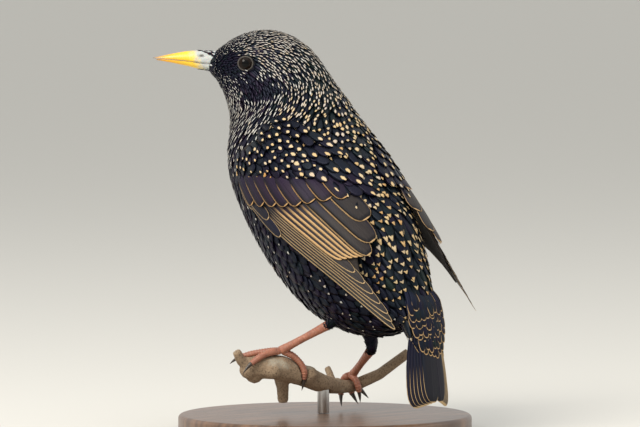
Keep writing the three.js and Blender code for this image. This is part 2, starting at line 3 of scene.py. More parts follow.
import bmesh
import bpy
import numpy as np
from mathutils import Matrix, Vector


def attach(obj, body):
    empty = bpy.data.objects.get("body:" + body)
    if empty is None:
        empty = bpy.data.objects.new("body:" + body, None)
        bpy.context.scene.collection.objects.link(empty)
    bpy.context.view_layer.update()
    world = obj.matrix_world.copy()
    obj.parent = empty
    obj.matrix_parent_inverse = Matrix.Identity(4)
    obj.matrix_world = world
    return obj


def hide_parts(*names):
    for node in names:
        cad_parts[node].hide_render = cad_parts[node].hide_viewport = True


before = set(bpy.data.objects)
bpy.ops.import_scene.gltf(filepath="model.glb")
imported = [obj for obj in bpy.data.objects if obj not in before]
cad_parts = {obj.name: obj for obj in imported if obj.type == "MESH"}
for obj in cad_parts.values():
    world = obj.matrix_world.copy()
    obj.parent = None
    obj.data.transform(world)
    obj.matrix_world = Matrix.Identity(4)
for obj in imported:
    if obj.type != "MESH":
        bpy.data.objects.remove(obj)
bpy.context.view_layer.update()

# Lengths are millimetres until a mesh is made. Materials count in metres.
mm = 0.001
fullTurn = 2 * math.pi
upward = np.array([0, 0, 1.0])
rng = np.random.default_rng(41)


class Wire:
    # an output socket that can stand in a sum
    def __init__(self, shader, socket):
        self.shader, self.socket = shader, socket

    def math(self, operation, *others, first=None):
        values = [self, *others] if first is None else [first, self]
        return self.shader.node("ShaderNodeMath", {"operation": operation}, dict(enumerate(values)))

    def __add__(self, other):
        return self.math("ADD", other)

    def __mul__(self, other):
        return self.math("MULTIPLY", other)

    def __sub__(self, other):
        return self.math("SUBTRACT", other)

    def __rsub__(self, other):
        return self.math("SUBTRACT", first=other)

    def __truediv__(self, other):
        return self.math("DIVIDE", other)

    def size(self):
        return self.math("ABSOLUTE")

    def step(self, low, high):
        # 0 below low, 1 above high, smooth between; low above high turns it round
        inputs = {0: self, 1: low, 2: high, 3: 0.0, 4: 1.0}
        return self.shader.node("ShaderNodeMapRange", {"interpolation_type": "SMOOTHSTEP"}, inputs)


class Shader:
    # one procedural material; constants go straight on the surface shader's own sockets
    def __init__(self, name, **constants):
        self.material = bpy.data.materials.new(name)
        self.material.use_nodes = True
        self.nodes = self.material.node_tree.nodes
        self.surface = self.nodes["Principled BSDF"]
        for socket, value in constants.items():
            self.surface.inputs[socket.replace("_", " ")].default_value = value

    def node(self, kind, settings=None, inputs=None, output=0):
        made = self.nodes.new(kind)
        for key, value in (settings or {}).items():
            setattr(made, key, value)
        for key, value in (inputs or {}).items():
            if isinstance(value, Wire):
                self.material.node_tree.links.new(value.socket, made.inputs[key])
            else:
                made.inputs[key].default_value = value
        return Wire(self, made.outputs[output])

    def feed(self, socket, wire):
        self.material.node_tree.links.new(wire.socket, self.surface.inputs[socket])

    def parts(self, wire):
        split = self.node("ShaderNodeSeparateXYZ", None, {0: wire})
        return [Wire(self, output) for output in split.socket.node.outputs]

    def attribute(self, name):
        return self.node("ShaderNodeAttribute", {"attribute_name": name}, None, "Vector")

    def blend(self, share, first, second):
        inputs = {0: share, 6: first, 7: second}
        return self.node("ShaderNodeMix", {"data_type": "RGBA"}, inputs, 2)

    def ramp(self, share, *stops):
        wire = self.node("ShaderNodeValToRGB", None, {0: share})
        elements = wire.socket.node.color_ramp.elements
        while len(elements) < len(stops):
            elements.new(0.5)
        for element, (place, color) in zip(elements, stops):
            element.position, element.color = place, (*color, 1)
        return wire

    def noise(self, scale, detail, vector, roughness=0.5):
        inputs = {"Scale": scale, "Detail": detail, "Roughness": roughness, "Vector": vector}
        return self.node("ShaderNodeTexNoise", None, inputs)

    def place(self, scale=(1, 1, 1)):
        coordinates = self.node("ShaderNodeTexCoord", None, None, "Object")
        return self.node("ShaderNodeMapping", None, {"Vector": coordinates, "Scale": scale})

    def bump(self, height, strength, distance):
        inputs = {"Height": height, "Strength": strength, "Distance": distance}
        self.feed("Normal", self.node("ShaderNodeBump", None, inputs))


def paint(r, g, b):
    return (r, g, b, 1.0)


def meshPiece(name, points, faces, material, uv=None, smooth=True, flatFaces=None, **attributes):
    # points in millimetres, faces a list of index arrays, attributes one vector a point
    mesh = bpy.data.meshes.new(name)
    points = np.asarray(points, float).reshape(-1, 3)
    sizes = np.concatenate([np.full(len(f), f.shape[1]) for f in faces])
    corners = np.concatenate([f.reshape(-1) for f in faces])
    starts = np.concatenate([[0], np.cumsum(sizes)[:-1]])
    mesh.vertices.add(len(points))
    mesh.vertices.foreach_set("co", (points * mm).ravel().astype(np.float32))
    mesh.loops.add(len(corners))
    mesh.loops.foreach_set("vertex_index", corners.astype(np.int32))
    mesh.polygons.add(len(sizes))
    mesh.polygons.foreach_set("loop_start", starts.astype(np.int32))
    mesh.update(calc_edges=True)
    shade = np.full(len(sizes), smooth)
    if flatFaces is not None:
        shade[flatFaces] = False
    mesh.polygons.foreach_set("use_smooth", shade)
    if uv is not None:
        layer = mesh.uv_layers.new(name="OFBake")
        layer.data.foreach_set("uv", np.asarray(uv, np.float32).reshape(-1, 2)[corners].ravel())
    for key, values in attributes.items():
        field = mesh.attributes.new(key, "FLOAT_VECTOR", "POINT")
        field.data.foreach_set("vector", np.asarray(values, np.float32).ravel())
    mesh.materials.append(material)
    mesh.validate()
    piece = bpy.data.objects.new(name, mesh)
    bpy.context.scene.collection.objects.link(piece)
    return piece


def addPiece(piece, slot, *nodes):
    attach(piece, "root")
    if nodes:
        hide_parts(*nodes)
    return piece


def solidPiece(name, points, faces, material, slot, *nodes, **more):
    # a closed shape whose faces are turned outward before it is added
    piece = meshPiece(name, points, faces, material, **more)
    shape = bmesh.new()
    shape.from_mesh(piece.data)
    bmesh.ops.remove_doubles(shape, verts=shape.verts, dist=1e-7)
    bmesh.ops.recalc_face_normals(shape, faces=shape.faces)
    shape.to_mesh(piece.data)
    shape.free()
    return addPiece(piece, slot, *nodes)


# Camera, floor and light
photo = {
    "width": 640,
    "scale": 0.408,  # millimetres for each pixel of the photograph at the bird
    "azimuth": 137.0,
    "elevation": 3.0,
    "distance": 2400.0,
    "aimHeight": 89.0,
    "aimAside": -5.0,  # pixels to the right of the middle of the base
}
studio = {
    "floorReach": 60000.0,
    "floorColors": (paint(0.60, 0.585, 0.545), paint(0.63, 0.615, 0.575)),
    "sky": paint(0.80, 0.80, 0.78),
    "skyStrength": 0.95,
    "lampAim": Vector((0, 0, 90)),
    # name: azimuth, elevation, distance, size, power, colour
    "lamps": {
        "window": (100, 40, 1300, 700, 15.0, (1.0, 0.95, 0.87)),
        "sky": (150, 78, 1500, 1800, 7.0, (0.93, 0.96, 1.0)),
        "backFill": (235, 22, 1500, 1200, 3.0, (1.0, 0.98, 0.95)),
        "frontFill": (20, 18, 1500, 1200, 2.0, (1.0, 0.98, 0.96)),
    },
}


def viewAxes(azimuth, elevation):
    a, e = math.radians(azimuth), math.radians(elevation)
    right = Vector((math.cos(a), math.sin(a), 0))
    back = Vector((math.sin(a) * math.cos(e), -math.cos(a) * math.cos(e), math.sin(e)))
    return right, back


def makeCamera():
    right, back = viewAxes(photo["azimuth"], photo["elevation"])
    aim = right * (photo["aimAside"] * photo["scale"]) + Vector((0, 0, photo["aimHeight"]))
    data = bpy.data.cameras.new("camera")
    data.lens = data.sensor_width * photo["distance"] / (photo["scale"] * photo["width"])
    data.clip_end = 200
    camera = bpy.data.objects.new("camera", data)
    bpy.context.scene.collection.objects.link(camera)
    camera.location = (aim + back * photo["distance"]) * mm
    camera.rotation_euler = back.to_track_quat("Z", "Y").to_euler()
    bpy.context.scene.camera = camera
    bpy.context.scene.view_settings.view_transform = "Standard"


def makeFloor():
    shader = Shader("paleFloor", Roughness=0.9)
    grain = shader.noise(900.0, 3.0, shader.place())
    shader.feed("Base Color", shader.blend(grain, *studio["floorColors"]))
    corners = [(x * studio["floorReach"], y * studio["floorReach"], 0)
               for x, y in ((-1, -1), (1, -1), (1, 1), (-1, 1))]
    floor = meshPiece("floor", corners, [np.array([[0, 1, 2, 3]])], shader.material, smooth=False)


def makeLights():
    for name, (azimuth, elevation, distance, size, power, color) in studio["lamps"].items():
        data = bpy.data.lights.new(name, "AREA")
        data.shape, data.size, data.energy, data.color = "DISK", size * mm, power, color
        lamp = bpy.data.objects.new(name, data)
        outward = viewAxes(azimuth, elevation)[1]
        lamp.location = (studio["lampAim"] + outward * distance) * mm
        lamp.rotation_euler = outward.to_track_quat("Z", "Y").to_euler()
        bpy.context.scene.collection.objects.link(lamp)
    world = bpy.data.worlds.new("studio")
    world.use_nodes = True
    background = world.node_tree.nodes["Background"]
    background.inputs["Color"].default_value = studio["sky"]
    background.inputs["Strength"].default_value = studio["skyStrength"]
    bpy.context.scene.world = world


makeCamera()
makeFloor()
makeLights()
print("camera, floor and light are set")

# The body's surface: one row of flat sections from the bill's base to the tail
body = {
    "headTurn": math.radians(47),
    "neckY": -22.1,
    # share of the head's turn, upper point (forward, height), lower point (forward, height),
    # half width, fullness above and below
    "sections": [
        (1, 31.0, 153.8, 33.0, 146.5, 4.0, 0, 0),
        (1, 26.9, 156.9, 30.8, 144.6, 6.2, 0, 0),
        (1, 21.2, 160.7, 29.0, 142.4, 8.4, 0, 0),
        (1, 14.7, 163.0, 27.7, 139.9, 10.0, 0, 0),
        (1, 8.2, 163.6, 26.7, 137.9, 11.2, 0, 0),
        (1, 1.2, 162.4, 25.9, 135.9, 12.4, 0, 0),
        (1, -5.3, 159.1, 25.3, 133.8, 13.8, 0, 0),
        (1, -11.0, 154.2, 24.7, 131.4, 15.4, 0, 0),
        (1, -15.5, 148.1, 24.1, 128.5, 17.0, 0, 0),
        (0.8, -20.0, 141.6, 24.2, 124.6, 19.3, 0, 0),
        (0.55, -25.2, 135.4, 24.8, 119.5, 22.0, 0.03, 0.02),
        (0.3, -30.6, 129.2, 25.2, 111.6, 24.8, 0.08, 0.06),
        (0.12, -38.2, 122.2, 23.2, 102.4, 26.2, 0.10, 0.12),
        (0, -46.4, 114.7, 17.2, 90.4, 26.4, 0.08, 0.14),
        (0, -55.2, 105.1, 7.0, 75.0, 26.2, 0.05, 0.13),
        (0, -62.2, 96.5, -6.5, 59.5, 25.0, 0.02, 0.11),
        (0, -69.0, 87.3, -22.6, 47.2, 22.4, 0, 0.08),
        (0, -75.4, 73.7, -40.5, 41.0, 18.0, 0, 0.05),
        (0, -79.3, 62.5, -57.0, 40.5, 13.0, 0, 0),
        (0, -81.8, 53.0, -68.5, 44.5, 9.5, 0, 0),
        (0, -83.6, 44.7, -75.0, 42.0, 8.8, 0, 0),
        (0, -84.9, 36.2, -80.6, 34.8, 8.2, 0, 0),
        (0, -86.0, 25.0, -83.4, 24.6, 6.5, 0, 0),
    ],
}
bodyEnd = len(body["sections"]) - 1


def tableAt(pairs, place):
    pairs = np.array(pairs, float)
    return np.interp(place, pairs[:, 0], pairs[:, 1])


def splineTable(rows, perStep=40):
    rows = np.array(rows, float)
    count = len(rows)
    places = np.linspace(0, count - 1, (count - 1) * perStep + 1)
    i = np.minimum(places.astype(int), count - 2)
    t = (places - i)[:, None]
    p0, p1, p2, p3 = rows[np.maximum(i - 1, 0)], rows[i], rows[i + 1], rows[np.minimum(i + 2, count - 1)]
    m1, m2 = (p2 - p0) / 2, (p3 - p1) / 2
    values = p1 * (2 * t**3 - 3 * t**2 + 1) + m1 * (t**3 - 2 * t**2 + t)
    return places, values + p2 * (3 * t**2 - 2 * t**3) + m2 * (t**3 - t**2)


bodyPlaces, bodyValues = splineTable(body["sections"])


def turned(forward, left, height, share=1.0):
    # a point before and beside the neck's axis, turned by a share of the head's turn
    yaw = body["headTurn"] * share
    x = forward * np.sin(yaw) + left * np.cos(yaw)
    y = body["neckY"] - forward * np.cos(yaw) + left * np.sin(yaw)
    return np.stack(np.broadcast_arrays(x, y, height), -1)


def bodyPoint(place, turn, grow=0.0):
    # place counts sections from the bill's base, turn goes round from the back's middle
    place, turn = np.broadcast_arrays(np.asarray(place, float), np.asarray(turn, float))
    column = [np.interp(place, bodyPlaces, values) for values in bodyValues.T]
    share, upF, upZ, lowF, lowZ, half, above, below = column
    length = np.hypot(upF - lowF, upZ - lowZ) / 2
    up = np.cos(turn) * (length + grow) / length
    fuller = 1 + np.where(np.cos(turn) > 0, above, below) * np.abs(np.sin(2 * turn))
    forward = (upF + lowF) / 2 + (upF - lowF) / 2 * up
    height = (upZ + lowZ) / 2 + (upZ - lowZ) / 2 * up
    side = (half + grow) * fuller * np.sin(turn)
    return turned(forward, side, height, np.clip(share, 0, 1))


def normals(surface, u, v, step):
    # the direction square to a surface of two numbers
    alongU = surface(u + step, v) - surface(u - step, v)
    alongV = surface(u, v + step) - surface(u, v - step)
    across = np.cross(alongU, alongV)
    return across / np.maximum(np.linalg.norm(across, axis=-1, keepdims=True), 1e-9)


def bodyNormal(place, turn):
    return -normals(bodyPoint, np.clip(place, 0.02, bodyEnd - 0.02), turn, 0.01)


headAhead = turned(1, 0, 0) - turned(0, 0, 0)
headLeft = turned(0, 1, 0) - turned(0, 0, 0)

eye = {
    "forward": 17.4,
    "height": 150.1,
    "side": 9.1,
    "radius": 3.4,
    "pupil": 1.475,
    "pupilEdge": 0.075,
    "lidOut": 1.9,  # how far the lid's ring lies outside the ball's middle
    "lidReach": 2.98,
    "lidHeight": 0.92,  # the opening's height beside its width
    "lidBand": (0.34, 0.10),
    "bare": 3.7,  # no feather starts nearer the lid's middle
}


def eyeMiddle(side):
    return turned(eye["forward"], side * eye["side"], eye["height"])


def lidMiddle(side):
    return eyeMiddle(side) + headLeft * side * eye["lidOut"]


def gridFaces(rows, columns, closed=True):
    r, c = np.meshgrid(np.arange(rows - 1), np.arange(columns if closed else columns - 1), indexing="ij")
    n = (c + 1) % columns
    quads = np.stack([r * columns + c, r * columns + n, (r + 1) * columns + n, (r + 1) * columns + c], -1)
    return quads.reshape(-1, 4)


def closedLoft(rings):
    # points and faces of a tube through rings, with both ends closed by fans
    rings = np.asarray(rings, float)
    rows, columns = rings.shape[:2]
    points = np.concatenate([rings.reshape(-1, 3), rings[[0, -1]].mean(1)])
    ring = np.arange(columns)
    after = (ring + 1) % columns
    low = np.stack([np.full(columns, rows * columns), after, ring], -1)
    last = (rows - 1) * columns
    high = np.stack([np.full(columns, rows * columns + 1), last + ring, last + after], -1)
    return points, [gridFaces(rows, columns), np.concatenate([low, high])]


def unit(vectors):
    return vectors / np.linalg.norm(vectors, axis=-1, keepdims=True)


def pathAxes(path, up):
    run = unit(np.gradient(path, axis=0))
    side = unit(np.cross(run, np.asarray(up, float)))
    return side, np.cross(side, run)


def tubeRings(path, radii, sides, flatten=1.0, up=upward):
    path = np.asarray(path, float)
    side, rise = pathAxes(path, up)
    turn = np.linspace(0, fullTurn, sides, endpoint=False)[None, :, None]
    ring = side[:, None] * np.cos(turn) + rise[:, None] * np.sin(turn) * flatten
    return path[:, None] + ring * np.asarray(radii, float)[:, None, None]


def smoothPath(points, count):
    values = splineTable(points, 24)[1]
    step = np.concatenate([[0], np.cumsum(np.linalg.norm(np.diff(values, axis=0), axis=1))])
    wanted = np.linspace(0, step[-1], count)
    return np.stack([np.interp(wanted, step, column) for column in values.T], -1)


def joinLofts(lofts):
    points, faces, shift = [], [], 0
    for p, f in lofts:
        points.append(p)
        faces += [g + shift for g in f]
        shift += len(p)
    return np.concatenate(points), faces


# Skin: one surface from the bill's base to the tail, with the thighs
skin = {
    "rows": 180,
    "columns": 96,
    "depth": [(0, 0.5), (3, 0.9), (8, 1.3), (12, 1.5), (18, 1.5), (22, 1.0)],  # place: depth in the coat
    "pale": [(0, 0), (1.5, 0.2), (3, 0.6), (9, 0.6), (12, 0.35), (16, 0.3), (20, 0.2), (22, 0)],
    "warmth": [(0, 0.1), (8, 0.3), (11, 0.8), (20, 0.8)],
    "darkRoundEyes": (6.5, 3.0),
}
legs = {
    # cover is the share of the lower leg under feathers, column its place on the coat's map
    "left": {"ankle": (10, 20, 47.7), "foot": (22, -2.8, 33.9), "root": (11, 12, 60),
             "cover": 0.27, "column": 0.90},
    "right": {"ankle": (-8, 19.3, 34.2), "foot": (-19.3, -4.6, 21.2), "root": (-9, 15, 56),
              "cover": 0.14, "column": 0.94},
}
thigh = {
    "rows": 24,
    "columns": 20,
    "radius": [(0, 5.8), (0.35, 5.2), (0.62, 3.6), (0.85, 2.4), (1.0, 1.9)],
    "bends": (0.5, 0.12),  # shares of the way from ankle to root
    "skinDepth": 0.6,
    "featherDepth": 0.4,
}


def makeSkinShader():
    # reads skinLook (share that is pale, warmth, hue), the same markings as the coat above it
    shader = Shader("darkSkin", Roughness=0.8, Specular_IOR_Level=0.12)
    share, warmth, hue = shader.parts(shader.attribute("skinLook"))
    grain = shader.noise(1800.0, 3.0, shader.place())
    dark = shader.blend(hue, paint(0.004, 0.008, 0.008), paint(0.008, 0.005, 0.012))
    pale = shader.blend(warmth, paint(0.40, 0.40, 0.37), paint(0.42, 0.30, 0.15))
    flecks = (grain + share * 0.35).step(0.72, 0.80)
    shader.feed("Base Color", shader.blend(flecks, dark, pale))
    shader.bump(grain, 0.4, 0.0003)
    return shader.material


def legPlace(leg, share):
    ankle, foot = np.array(leg["ankle"], float), np.array(leg["foot"], float)
    return ankle + (foot - ankle) * share


def thighPath(leg, count):
    root, ankle = np.array(leg["root"], float), np.array(leg["ankle"], float)
    bends = [ankle + (root - ankle) * share for share in thigh["bends"]]
    ends = [legPlace(leg, leg["cover"] + past) for past in (-0.12, 0.02)]
    return smoothPath([root, *bends, *ends], count)


def skinLook(place, turn):
    breast = (1 - np.cos(turn)) / 2
    share = tableAt(skin["pale"], place) * (1 - 0.5 * breast)
    warmth = tableAt(skin["warmth"], place) * (1 - breast)
    inner, fade = skin["darkRoundEyes"]
    for side in (1, -1):
        away = np.linalg.norm(bodyPoint(place, turn) - eyeMiddle(side), axis=-1)
        share = share * np.clip((away - inner) / fade, 0, 1)
    return np.stack([share, warmth, 0.3 + 0.5 * breast], -1)


def skinUv(place, turn):
    # the skin's own shape laid flat: along the body, and round it
    return np.stack([0.01 + 0.86 * place / bodyEnd, 0.01 + 0.97 * np.mod(turn, fullTurn) / fullTurn], -1)


def makeSkin():
    rows, columns = skin["rows"], skin["columns"]
    legRows, legColumns = thigh["rows"], thigh["columns"]
    places = np.linspace(0, bodyEnd, rows)
    turns = np.linspace(0, fullTurn, columns, endpoint=False)
    depths = tableAt(skin["depth"], places)
    lofts = [closedLoft([bodyPoint(place, turns, -depth) for place, depth in zip(places, depths)])]
    radii = tableAt(thigh["radius"], np.linspace(0, 1, legRows)) - thigh["skinDepth"]
    for leg in legs.values():
        lofts.append(closedLoft(tubeRings(thighPath(leg, legRows), radii, legColumns, 1.0, (1, 0, 0))))
    points, faces = joinLofts(lofts)
    uv, look = np.zeros((len(points), 2)), np.zeros((len(points), 3))
    place, turn = np.repeat(places, columns), np.tile(turns, rows)
    uv[: rows * columns] = skinUv(place, turn)
    look[: rows * columns] = skinLook(place, turn)
    start = len(lofts[0][0])
    for leg in legs.values():
        patch = slice(start, start + legRows * legColumns)
        uv[patch, 0] = leg["column"] + 0.03 * np.tile(np.linspace(0, 1, legColumns), legRows)
        uv[patch, 1] = np.repeat(np.linspace(0, 0.2, legRows), legColumns)
        start += len(lofts[1][0])
    solidPiece("skin", points, faces, makeSkinShader(), "plumage", "head", "neck", "torso", "thigh_left",
               "thigh_right", uv=uv, skinLook=look)


makeSkin()
print("skin is made")

# Feathers: closed thin vanes, many in one mesh, each with its own place and look
noSpot = (0.01, 0.001, 0.0)
patchSize = 0.003  # how large one feather is on the coat's map
smallVane = {
    "steps": np.linspace(0, 1, 6) ** 0.85,
    "outline": (0.5, 0.9, 1.0, 0.9, 0.6, 0.12),
    "across": 4,
}
coverVane = {
    "steps": (0, 0.2, 0.45, 0.66, 0.83, 0.94, 1.0),
    "outline": (0.5, 0.8, 0.96, 1.0, 0.86, 0.55, 0.14),
    "across": 5,
}


def plumageShader():
    # reads featherPlace (mm across, mm from the tip, half width in mm), featherLook (spot length,
    # spot half width, both in mm, and how steep its arms rise) and featherTint (hue, warmth, rim)
    shader = Shader("bodyFeathers", Specular_IOR_Level=0.22)
    across, fromTip, half = shader.parts(shader.attribute("featherPlace"))
    length, wide, arms = shader.parts(shader.attribute("featherLook"))
    hue, warmth, rim = shader.parts(shader.attribute("featherTint"))
    aside = across.size()
    dark = shader.ramp(hue, (0.0, (0.0035, 0.0110, 0.0085)), (0.25, (0.0030, 0.0085, 0.0125)),
                       (0.5, (0.0030, 0.0042, 0.0140)), (0.75, (0.0075, 0.0038, 0.0160)),
                       (1.0, (0.0140, 0.0035, 0.0120)))
    pale = shader.ramp(warmth, (0.0, (0.56, 0.56, 0.52)), (0.35, (0.52, 0.45, 0.38)),
                       (0.7, (0.60, 0.45, 0.24)), (1.0, (0.50, 0.27, 0.09)))
    fray = (shader.noise(2600.0, 2.0, shader.place()) - 0.5) * 0.9
    up = (fromTip - aside * arms) / length
    narrowing = (up + 0.35).math("MINIMUM", 1.1 - up * 0.85).math("MAXIMUM", 0.02) * wide
    spot = (aside / narrowing + fray).step(1.2, 0.7) * up.step(1.05, 0.75) * up.step(-0.35, -0.1)
    edge = ((half - aside).math("MINIMUM", fromTip * 0.7) + fray * 0.2 - rim).step(0.06, -0.12)
    mask = spot.math("MAXIMUM", edge * rim.step(0.02, 0.1))
    shader.feed("Base Color", shader.blend(mask, dark, pale))
    shader.feed("Metallic", (1.0 - mask) * 0.45)
    shader.feed("Roughness", mask * 0.25 + 0.42)
    barbs = ((fromTip * 2.2 + aside * 2.6) * 7.0).math("SINE")
    shaft = aside.step(0.12, 0.0)
    shader.bump(barbs * 0.25 + shaft, 0.3, 0.00008)
    return shader.material


plumage = plumageShader()


def featherSheets(points, outward):
    # closed faces for feathers of shape (count, rows, across); outward is the first one's upper side
    count, rows, across = points.shape[:3]
    top = gridFaces(rows, across, closed=False)
    r = np.arange(rows - 1) * across
    under = np.stack([r, r + across, r + 2 * across - 1, r + across - 1], -1)
    ends = np.stack([np.arange(across)[::-1], np.arange(across) + (rows - 1) * across])
    shift = np.arange(count)[:, None, None] * rows * across
    faces = [(f[None] + shift).reshape(-1, f.shape[1]) for f in (top, under, ends)]
    corner, aside, further = points[0, 1, 0], points[0, 1, -1], points[0, -2, 0]
    if np.cross(aside - corner, further - corner) @ outward < 0:
        faces = [f[:, ::-1] for f in faces]
    return faces


def featherPiece(name, points, outward, material, uv, place, look, tint, slot, *nodes):
    # only the upper sides are smooth
    faces = featherSheets(points, outward)
    flat = np.arange(len(faces[0]), sum(len(f) for f in faces))
    piece = meshPiece(name, points, faces, material, uv, flatFaces=flat,
                      featherPlace=place, featherLook=look, featherTint=tint)
    return addPiece(piece, slot, *nodes)


def surfaceFeathers(name, surface, normal, uv, starts, lengths, widths, angles, look, tint, lie,
                    vane=smallVane):
    # starts: (n, 2) places on the surface; lengths and widths in mm; angles turn a feather off the
    # flow; lie: how deep the root lies, how high the tip and how far the middle stands out, in mm
    u, v = starts[:, 0], starts[:, 1]
    sink, lift, camber = lie
    small = 1e-3
    perU = np.linalg.norm(surface(u + small, v) - surface(u - small, v), axis=-1) / (2 * small)
    perV = np.linalg.norm(surface(u, v + small) - surface(u, v - small), axis=-1) / (2 * small)
    t = np.array(vane["steps"])[None, :, None]
    outline = np.array(vane["outline"])[None, :, None]
    w = np.linspace(-1, 1, vane["across"])[None, None, :]
    shape = (len(starts), t.size, w.size)
    lengths, halves = lengths[:, None, None], widths[:, None, None] / 2 * outline
    a, c = np.broadcast_to(lengths * t, shape), halves * w
    cos, sin = np.cos(angles)[:, None, None], np.sin(angles)[:, None, None]
    pu = u[:, None, None] + (a * cos - c * sin) / perU[:, None, None]
    pv = v[:, None, None] + (a * sin + c * cos) / perV[:, None, None]
    outward = normal(pu, pv)
    rise = -sink + (sink + lift) * t**1.1 + camber * (1 - w**2) * outline**0.5
    rise = rise + rng.uniform(-0.12, 0.12, (len(starts), 1, 1))
    points = surface(pu, pv) + outward * rise[..., None]
    patch = uv(u, v)[:, None, None] + np.stack(np.broadcast_arrays(t * patchSize, w * patchSize / 2), -1)
    place = np.stack(np.broadcast_arrays(c, lengths - a, halves), -1)
    look, tint = (np.broadcast_to(values[:, None, None], (*shape, 3)) for values in (look, tint))
    return featherPiece(name, points, outward[0, 1, 1], plumage, patch, place, look, tint, "plumage")


boxSize = 4.0
boxesAround = [(i, j, k) for i in (-1, 0, 1) for j in (-1, 0, 1) for k in (-1, 0, 1)]


def tooClose(boxes, box, root):
    x, y, z, ax, ay, az, cx, cy, cz, ia, ic = root
    for i, j, k in boxesAround:
        for ox, oy, oz in boxes.get((box[0] + i, box[1] + j, box[2] + k), ()):
            dx, dy, dz = ox - x, oy - y, oz - z
            p = (dx * ax + dy * ay + dz * az) * ia
            q = (dx * cx + dy * cy + dz * cz) * ic
            if p * p + q * q < 1:
                return True
    return False


def spread(surface, normal, count, uRange, vRange, spacing, keep):
    # even scatter: spacing(u, v) gives the steps along and across in mm
    u = rng.uniform(*uRange, count * 3)
    v = rng.uniform(*vRange, count * 3)
    small = 1e-3
    du = (surface(u + small, v) - surface(u - small, v)) / (2 * small)
    dv = (surface(u, v + small) - surface(u, v - small)) / (2 * small)
    area = np.linalg.norm(np.cross(du, dv), axis=-1)
    chosen = rng.uniform(0, 1, len(u)) < area / area.max()
    chosen &= keep(u, v)
    u, v, du = u[chosen], v[chosen], du[chosen]
    along = unit(du)
    across = np.cross(normal(u, v), along)
    perStep = 1 / np.stack(spacing(u, v), -1)
    boxes, kept = {}, []
    roots = np.concatenate([surface(u, v), along, across, perStep], 1).tolist()
    for index, root in enumerate(roots):
        box = tuple(int(c // boxSize) for c in root[:3])
        if not tooClose(boxes, box, root):
            boxes.setdefault(box, []).append(root[:3])
            kept.append(index)
    return np.stack([u[kept], v[kept]], -1)


def nearly(middle, width, n=None):
    # a share from 0 to 1, by chance near a middle one
    return np.clip(middle + rng.normal(0, width, n), 0, 1)


# The body's coat; each table gives a value at places on the body, sizes in mm
coat = {
    "length": [(0, 2.2), (1.5, 3.0), (3, 3.8), (5, 4.6), (8, 6.0), (10, 7.6), (12, 9.0), (15, 10.0),
               (18, 11.0), (20, 14.0)],
    "width": [(0, 0.9), (1.5, 1.05), (3, 1.25), (5, 1.5), (8, 1.9), (10, 2.9), (12, 4.2), (15, 4.8),
              (18, 5.2), (20, 6.0)],
    "hackles": 0.62,  # how narrow the throat's and breast's feathers are beside the back's
    "hacklePlaces": [(0, 0), (3, 0.3), (7, 1), (13, 1), (15, 0.3), (17, 0)],
    "along": 0.31,  # steps between roots as shares of a feather's length and width
    "across": 0.56,
    # first the back, then the breast
    "spotLength": (
        [(0, 0.3), (1.2, 0.7), (2.5, 1.35), (5, 1.9), (8, 2.1), (9.5, 2.2), (11, 2.3), (14, 1.8), (18, 1.3)],
        [(0, 0.25), (2, 0.65), (5, 1.3), (9, 1.9), (12, 1.2), (16, 0.9), (19, 1.2)],
    ),
    "spotHalf": (
        [(0, 0.10), (1.2, 0.15), (2.5, 0.23), (5, 0.30), (8, 0.42), (9.5, 0.75), (11, 1.15), (14, 1.3),
         (18, 1.7)],
        [(0, 0.08), (2, 0.13), (5, 0.21), (9, 0.25), (12, 0.36), (16, 0.5), (19, 0.9)],
    ),
    "hue": (
        [(0, 0.5), (4, 0.45), (8, 0.2), (10, 0.25), (13, 0.42), (17, 0.35), (20, 0.4)],
        [(0, 0.5), (6, 0.7), (10, 0.75), (14, 0.6), (20, 0.5)],
    ),
    "backWarmth": [(0, 0.1), (4, 0.3), (7, 0.25), (9, 0.4), (11, 0.68), (20, 0.75)],
    "breastWarmth": [(0, 0.05), (12, 0.1), (18, 0.3)],
    "arms": [(0, 0), (10, 0), (12, 0.3), (14, 0.8), (16, 1.1), (20, 1.1)],
    "rim": [(0, 0), (17.6, 0), (19.0, 0.35)],
    # patches without spots: forward, height and the reach both ways
    "lores": (25.0, 150.0, 7.0, 5.0),
    "cheek": (14.0, 142.6, 9.5, 5.4),
    # body places, how many candidate roots
    "zones": {
        "coatHead": ((0.05, 5.2), 40000),
        "coatNeck": ((5.2, 9.6), 34000),
        "coatMantle": ((9.6, 14.0), 24000),
        "coatRump": ((14.0, 21.0), 22000),
    },
    "loose": ([2, 12], [0.55, 1.0]),  # feathers stand out less on the head than on the back
    "lie": np.array([0.42, 0.95, 0.20]),
}


def faceSide(v):
    # 0 on the back's middle, 1 on the breast's middle
    return (1 - np.cos(v)) / 2


def mixed(key, u, belly):
    back, breast = coat[key]
    return tableAt(back, u) * (1 - belly) + tableAt(breast, u) * belly


def coatSizes(u, v):
    belly = faceSide(v)
    hackle = 1 - (1 - coat["hackles"]) * tableAt(coat["hacklePlaces"], u) * belly
    return tableAt(coat["length"], u) * (1 - 0.12 * belly), tableAt(coat["width"], u) * hackle


def coatSpacing(u, v):
    length, width = coatSizes(u, v)
    return length * coat["along"], width * coat["across"]


def clearOfEyes(u, v):
    away = [np.linalg.norm(bodyPoint(u, v) - lidMiddle(side), axis=-1) for side in (1, -1)]
    return np.minimum(*away) > eye["bare"]


